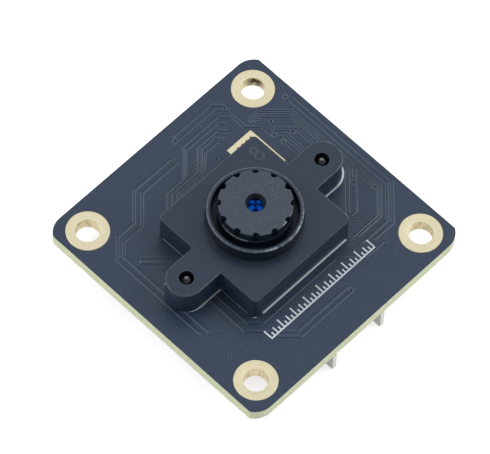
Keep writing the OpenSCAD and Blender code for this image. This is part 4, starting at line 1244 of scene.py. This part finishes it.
def bottom_print():
    """White lines beside the packages on the underside, with a dot at each first lead."""
    s = Shape()

    def line(*path, width=0.12):
        s.strip(path, width, -1, PRINT_T, PRINT_SLOPE)

    def corners(box, gap, arm):
        for x, out_x in ((box[0].x - gap, -1), (box[1].x + gap, 1)):
            for y, out_y in ((box[0].y - gap, -1), (box[1].y + gap, 1)):
                line((x - out_x * arm, y), (x, y), (x, y - out_y * arm))

    def dot(x, y, r=0.16):
        top, face = BACK_Z + STRIP_SUNK, BACK_Z - PRINT_T
        s.turned([(0, top), (r, top), (r, face), (0, face)], x, y, 20)

    gap, inset, dot_gap = 0.25, 0.1, 0.35
    for leads, bodies in LEADS[:3]:
        packages, ends = islands(bodies), islands(leads)
        for low, high in packages:
            own = [b for b in ends if nearest(packages, middle(b)) == (low, high)]
            axis = stick_out(own[0], (low, high))[1]
            other = 1 - axis
            for at in (low[other] - gap, high[other] + gap):
                path = [(low[axis] + inset, at), (high[axis] - inset, at)]
                line(*[(a, b) if axis == 0 else (b, a) for a, b in path])
            first, spot = own[0], middle(own[0])
            side = 1 if spot[other] > middle((low, high))[other] else -1
            spot[other] += side * (dot_gap + (first[1][other] - first[0][other]) / 2)
            dot(spot.x, spot.y)
    corners(box_mm("video_processor"), 0.32, 0.6)
    dot(-5.75, -2.6)
    corners(box_mm("crystal_base"), 0.2, 0.5)
    dot(-9.95, 4.5)
    low, high = box_mm("bulk_capacitor_leads")
    x0, x1, y0, y1 = low.x - 0.5, high.x + 0.5, low.y - 0.4, high.y + 0.4
    line((x0, y1), (x0, y0), (x1, y0), (x1, y1))
    line((x0, high.y + 0.5), (x1, high.y + 0.5), width=0.3)
    front, back = box_mm("header_housing")
    x0, x1, y0, y1 = front.x - 0.35, back.x + 0.35, back.y - 0.6, back.y + 0.3
    line((x0, y0), (x0, y1), (front.x + 0.85, y1))
    line((back.x - 0.85, y1), (x1, y1), (x1, y0))
    dot(front.x + 0.75, back.y + 0.75)
    border = rectangle(*box_mm("test_pads"), -0.3)
    line(*border, border[0])
    s.object("printed_marks_underside", [INK], "board", smooth=20)


def chip_ends(boxes, bodies):
    """Metal caps of the chip parts, each with a solder fillet down to the board."""
    s = Shape()
    reach, sunk, share, steps = 0.18, 0.03, 0.6, 4
    skin, hollow, narrowing = 0.004, 2.2, 0.1
    for low, high in boxes:
        centre = middle((low, high))
        away = centre - middle(nearest(bodies, centre))
        axis = 0 if abs(away.x) > abs(away.y) else 1
        sign, other = (1 if away[axis] > 0 else -1), 1 - axis
        s.brick(low, high, 0.035)
        height = (high.z - low.z) * share
        face = high[axis] if sign > 0 else low[axis]
        rows = []
        for t in [k / steps for k in range(steps + 1)]:
            out = face + sign * (reach * t - sunk)
            drop = BACK_Z - skin - height * (1 - t) ** hollow
            half = (high[other] - low[other]) / 2 * (1 - narrowing * t)
            left, right = centre[other] - half, centre[other] + half
            rows.append([(out, left, drop), (out, right, drop), (out, right, FOOT_Z),
                         (out, left, FOOT_Z)])
        s.loft(rows, axis)
    s.object("soldered_chip_ends", [TIN], "tin", "chip_end_caps")


def chip_bodies(name, node, surface, slot):
    s = Shape()
    for low, high in islands(node):
        s.brick(low, high, 0.03)
    s.object(name, [surface], slot, node)


def moulded_bodies(name, node, slope, dimple, surface, slot):
    """Moulded packages: sides slope in above and below the leads, pin-one dimple below."""
    s = Shape()
    corner_r = 0.08
    for low, high in islands(node):
        mid = (low.z + high.z) / 2
        levels = [(slope, high.z), (0.0, mid + slope * 0.4), (0.0, mid - slope * 0.4),
                  (slope * 0.9, low.z + 0.03), (slope + 0.03, low.z)]
        sides = [s.loop(rounded(rectangle(low, high, inset + corner_r), corner_r), z)
                 for inset, z in levels]
        s.walls(*sides)
        s.fill(sides[0])
        x, y = low.x + slope + dimple * 1.7, low.y + slope + dimple * 1.7
        mouth, pit = s.rings([(dimple, low.z), (dimple * 0.85, low.z + 0.06)], x, y, 24)
        s.fill(pit)
        s.fill(sides[-1], mouth)
    s.object(name, [surface], slot, node)


def polarity_band():
    """Brown band across one end of the bulk capacitor."""
    s = Shape()
    low, high = box_mm("bulk_capacitor")
    width, end, proud = 0.5, high.y - 0.25, 0.005
    s.brick(Vector((low.x - proud, end - width, low.z - 0.01)),
            Vector((high.x + proud, end, high.z - 0.2)), 0.02)
    s.object("polarity_band", [BROWN], "bulk_yellow")


def solder_feet():
    """Solder round the outer end of each lead, on the board."""
    s = Shape()
    steps, longest, share, toe, margin = 5, 0.6, 0.7, 0.2, 0.07
    skin, swell, begins, narrowed = 0.012, 0.1, 0.25, 0.75
    for leads, bodies in LEADS:
        for (low, high), centre, end, _, axis, side in walk_leads(leads, bodies):
            mid, size = centre[1 - axis], high - low
            near, far = end - side * min(longest, size[axis] * share), end + side * toe
            half = size[1 - axis] / 2 + margin
            rows = []
            for t in [k / steps for k in range(steps + 1)]:
                at = near + (far - near) * t
                wave = math.sin(math.pi * min(1.0, begins + (1 - begins) * t))
                top = BACK_Z - swell * wave - skin
                rows.append([(at, mid - half, FOOT_Z), (at, mid - half * narrowed, top),
                             (at, mid + half * narrowed, top), (at, mid + half, FOOT_Z)])
            s.loft(rows, axis)
    s.object("solder_joints", [SOLDER], "tin", smooth=60)


def dress(node, surface, bevel):
    """Gives a CAD node its material and rounded edges."""
    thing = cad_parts[node]
    for entry in thing.material_slots:
        entry.material = surface
    edges = thing.modifiers.new("soft_edges", "BEVEL")
    edges.width = bevel * MM
    edges.segments = 2
    edges.limit_method = "ANGLE"
    edges.angle_limit = math.radians(40)


# ---- Stage ----

FLOOR_GAP = 0.05 * MM
FLOOR_LEVEL = 0.66
WORLD_LEVEL = 0.35
WHITE = (1, 1, 1, 1)


def stage():
    """White floor that keeps the object's shadow."""
    bpy.ops.mesh.primitive_plane_add(size=3, location=(0, 0, cad_box[0].z - FLOOR_GAP))
    floor = bpy.context.object
    floor.name = "floor"
    s = Surface("floor_white", (0.82, 0.82, 0.82), 0.9, Emission_Color=WHITE)
    rays = s.node("ShaderNodeLightPath")
    seen = s.math("MAXIMUM", rays["Is Camera Ray"], rays["Is Glossy Ray"])
    s.links.new(s.math("MULTIPLY", seen, FLOOR_LEVEL), s.inputs["Emission Strength"])
    floor.data.materials.append(s.made)


def surround():
    """White where it is seen or mirrored, and a dimmer light elsewhere."""
    world = bpy.data.worlds.new("surround")
    bpy.context.scene.world = world
    world.use_nodes = True
    tree = Nodes(world.node_tree)
    rays = tree.node("ShaderNodeLightPath")
    seen = tree.math("MAXIMUM", rays["Is Camera Ray"], rays["Is Glossy Ray"])
    clear = tree.math("MAXIMUM", seen, rays["Is Transmission Ray"])
    background = tree.nodes["Background"].inputs
    background["Color"].default_value = WHITE
    tree.links.new(tree.ramp(clear, 0, 1, WORLD_LEVEL, 1), background["Strength"])


def lamp(name, direction, size, watts, shows=True):
    """Square soft lamp aimed at the object. Where shows is false, nothing mirrors it."""
    distance = 0.6
    data = bpy.data.lights.new(name, "AREA")
    data.shape = "SQUARE"
    data.size = size
    data.energy = watts
    thing = bpy.data.objects.new(name, data)
    bpy.context.scene.collection.objects.link(thing)
    away = Vector(direction).normalized()
    thing.location = away * distance
    thing.rotation_mode = "QUATERNION"
    thing.rotation_quaternion = away.to_track_quat("Z", "Y")
    thing.visible_glossy = shows


def camera():
    """Long lens from above, over the corner between -X and -Y."""
    data = bpy.data.cameras.new("camera")
    data.lens = 347.9
    data.sensor_width = 36
    data.clip_start, data.clip_end = 0.05, 5
    thing = bpy.data.objects.new("camera", data)
    bpy.context.scene.collection.objects.link(thing)
    right = Vector((0.7012, -0.7124, 0.0279))
    forward = Vector((0.3629, 0.323, -0.874))
    up = right.cross(forward).normalized()
    turn = Matrix((right.normalized(), up, -forward.normalized())).transposed()
    thing.matrix_world = turn.to_4x4()
    thing.location = Vector((-185.71, -163.89, 446.57)) * MM
    bpy.context.scene.camera = thing


# ---- Build ----

bpy.context.scene.view_settings.view_transform = "Standard"
camera()
laminate_core()
mask_skin("solder_mask_top", 0.0, -MASK_T, [ground_outline(MASK_GAP)])
mask_skin("solder_mask_bottom", BACK_Z, BACK_Z + MASK_T, ground_holes())
traces("traces_top", top_traces(), 1)
vias()
plating()
ground_pad()
top_print()
ruled_scale()
lens_holder()
cavity_number()
holder_screws()
lens_barrel()

# Radii of the elements' polished middles, from behind the front one to behind the last.
ELEMENT_RIM = 0.35
POLISHED = [box_mm(name)[1].x - AXIS.x - ELEMENT_RIM for name in ELEMENTS]
element("front_element", THROAT_R - 0.02, 0.12, POLISHED[0], -0.1, COATED_AND_REFLECTION, "coated_glass")
element("second_element", POLISHED[0], -0.1, POLISHED[1], 0.045, CLEAR, "lens_glass")
element("third_element", POLISHED[1], 0.045, POLISHED[2], 0.1, CLEAR, "lens_glass")
element("rear_element", POLISHED[2], -0.15, POLISHED[3], 0.1, CLEAR, "lens_glass")

CHIP_NODES = [("ceramic_capacitors", CAPACITOR, "capacitor_ceramic"),
              ("resistors", RESISTOR, "resistor_black"), ("ferrite_beads", FERRITE, "ferrite")]
chip_ends(islands("chip_end_caps"), [b for node, _, _ in CHIP_NODES for b in islands(node)])
for node, surface, slot in CHIP_NODES:
    chip_bodies(node + "_bodies", node, surface, slot)
for name, node, slope, dimple in [("flash_memory_package", "flash_memory", 0.12, 0.3),
                                  ("regulator_packages", "voltage_regulators", 0.08, 0.14),
                                  ("protector_package", "surge_protector", 0.08, 0.14),
                                  ("processor_package", "video_processor", 0.02, 0.28)]:
    moulded_bodies(name, node, slope, dimple, EPOXY, "black_epoxy")
moulded_bodies("bulk_capacitor_case", "bulk_capacitor", 0.08, 0.12, YELLOW, "bulk_yellow")
polarity_band()
solder_feet()
bottom_circuit()
bottom_print()

for node, surface, bevel in [
        ("test_pads", GOLD, 0.01), ("ir_cut_filter", FILTER_GLASS, 0.02),
        ("element_spacers", BLACK_AND_SHADE, 0.01), ("lens_retainer", BLACK_AND_SHADE, 0.02),
        ("image_sensor", SILICON, 0.01), ("sensor_cover_glass", CLEAR, 0.01),
        ("sensor_solder_balls", SOLDER, 0.05), ("header_housing", NYLON, 0.05),
        ("header_contacts", BRASS, 0.03), ("header_solder_tabs", TIN, 0.03),
        ("processor_terminals", TIN, 0.02), ("flash_leads", TIN, 0.04),
        ("regulator_leads", TIN, 0.03), ("protector_leads", TIN, 0.03),
        ("crystal_base", CRYSTAL_BASE, 0.05), ("crystal_lid", STEEL, 0.06),
        ("bulk_capacitor_leads", TIN, 0.04)]:
    dress(node, surface, bevel)

stage()
surround()
lamp("key", (0.55, 0.3, 0.9), 0.35, 1.4, False)
lamp("right", (0.62, -0.52, 0.56), 0.3, 1.3)
lamp("left", (-0.6, 0.62, 0.5), 0.3, 1.3)
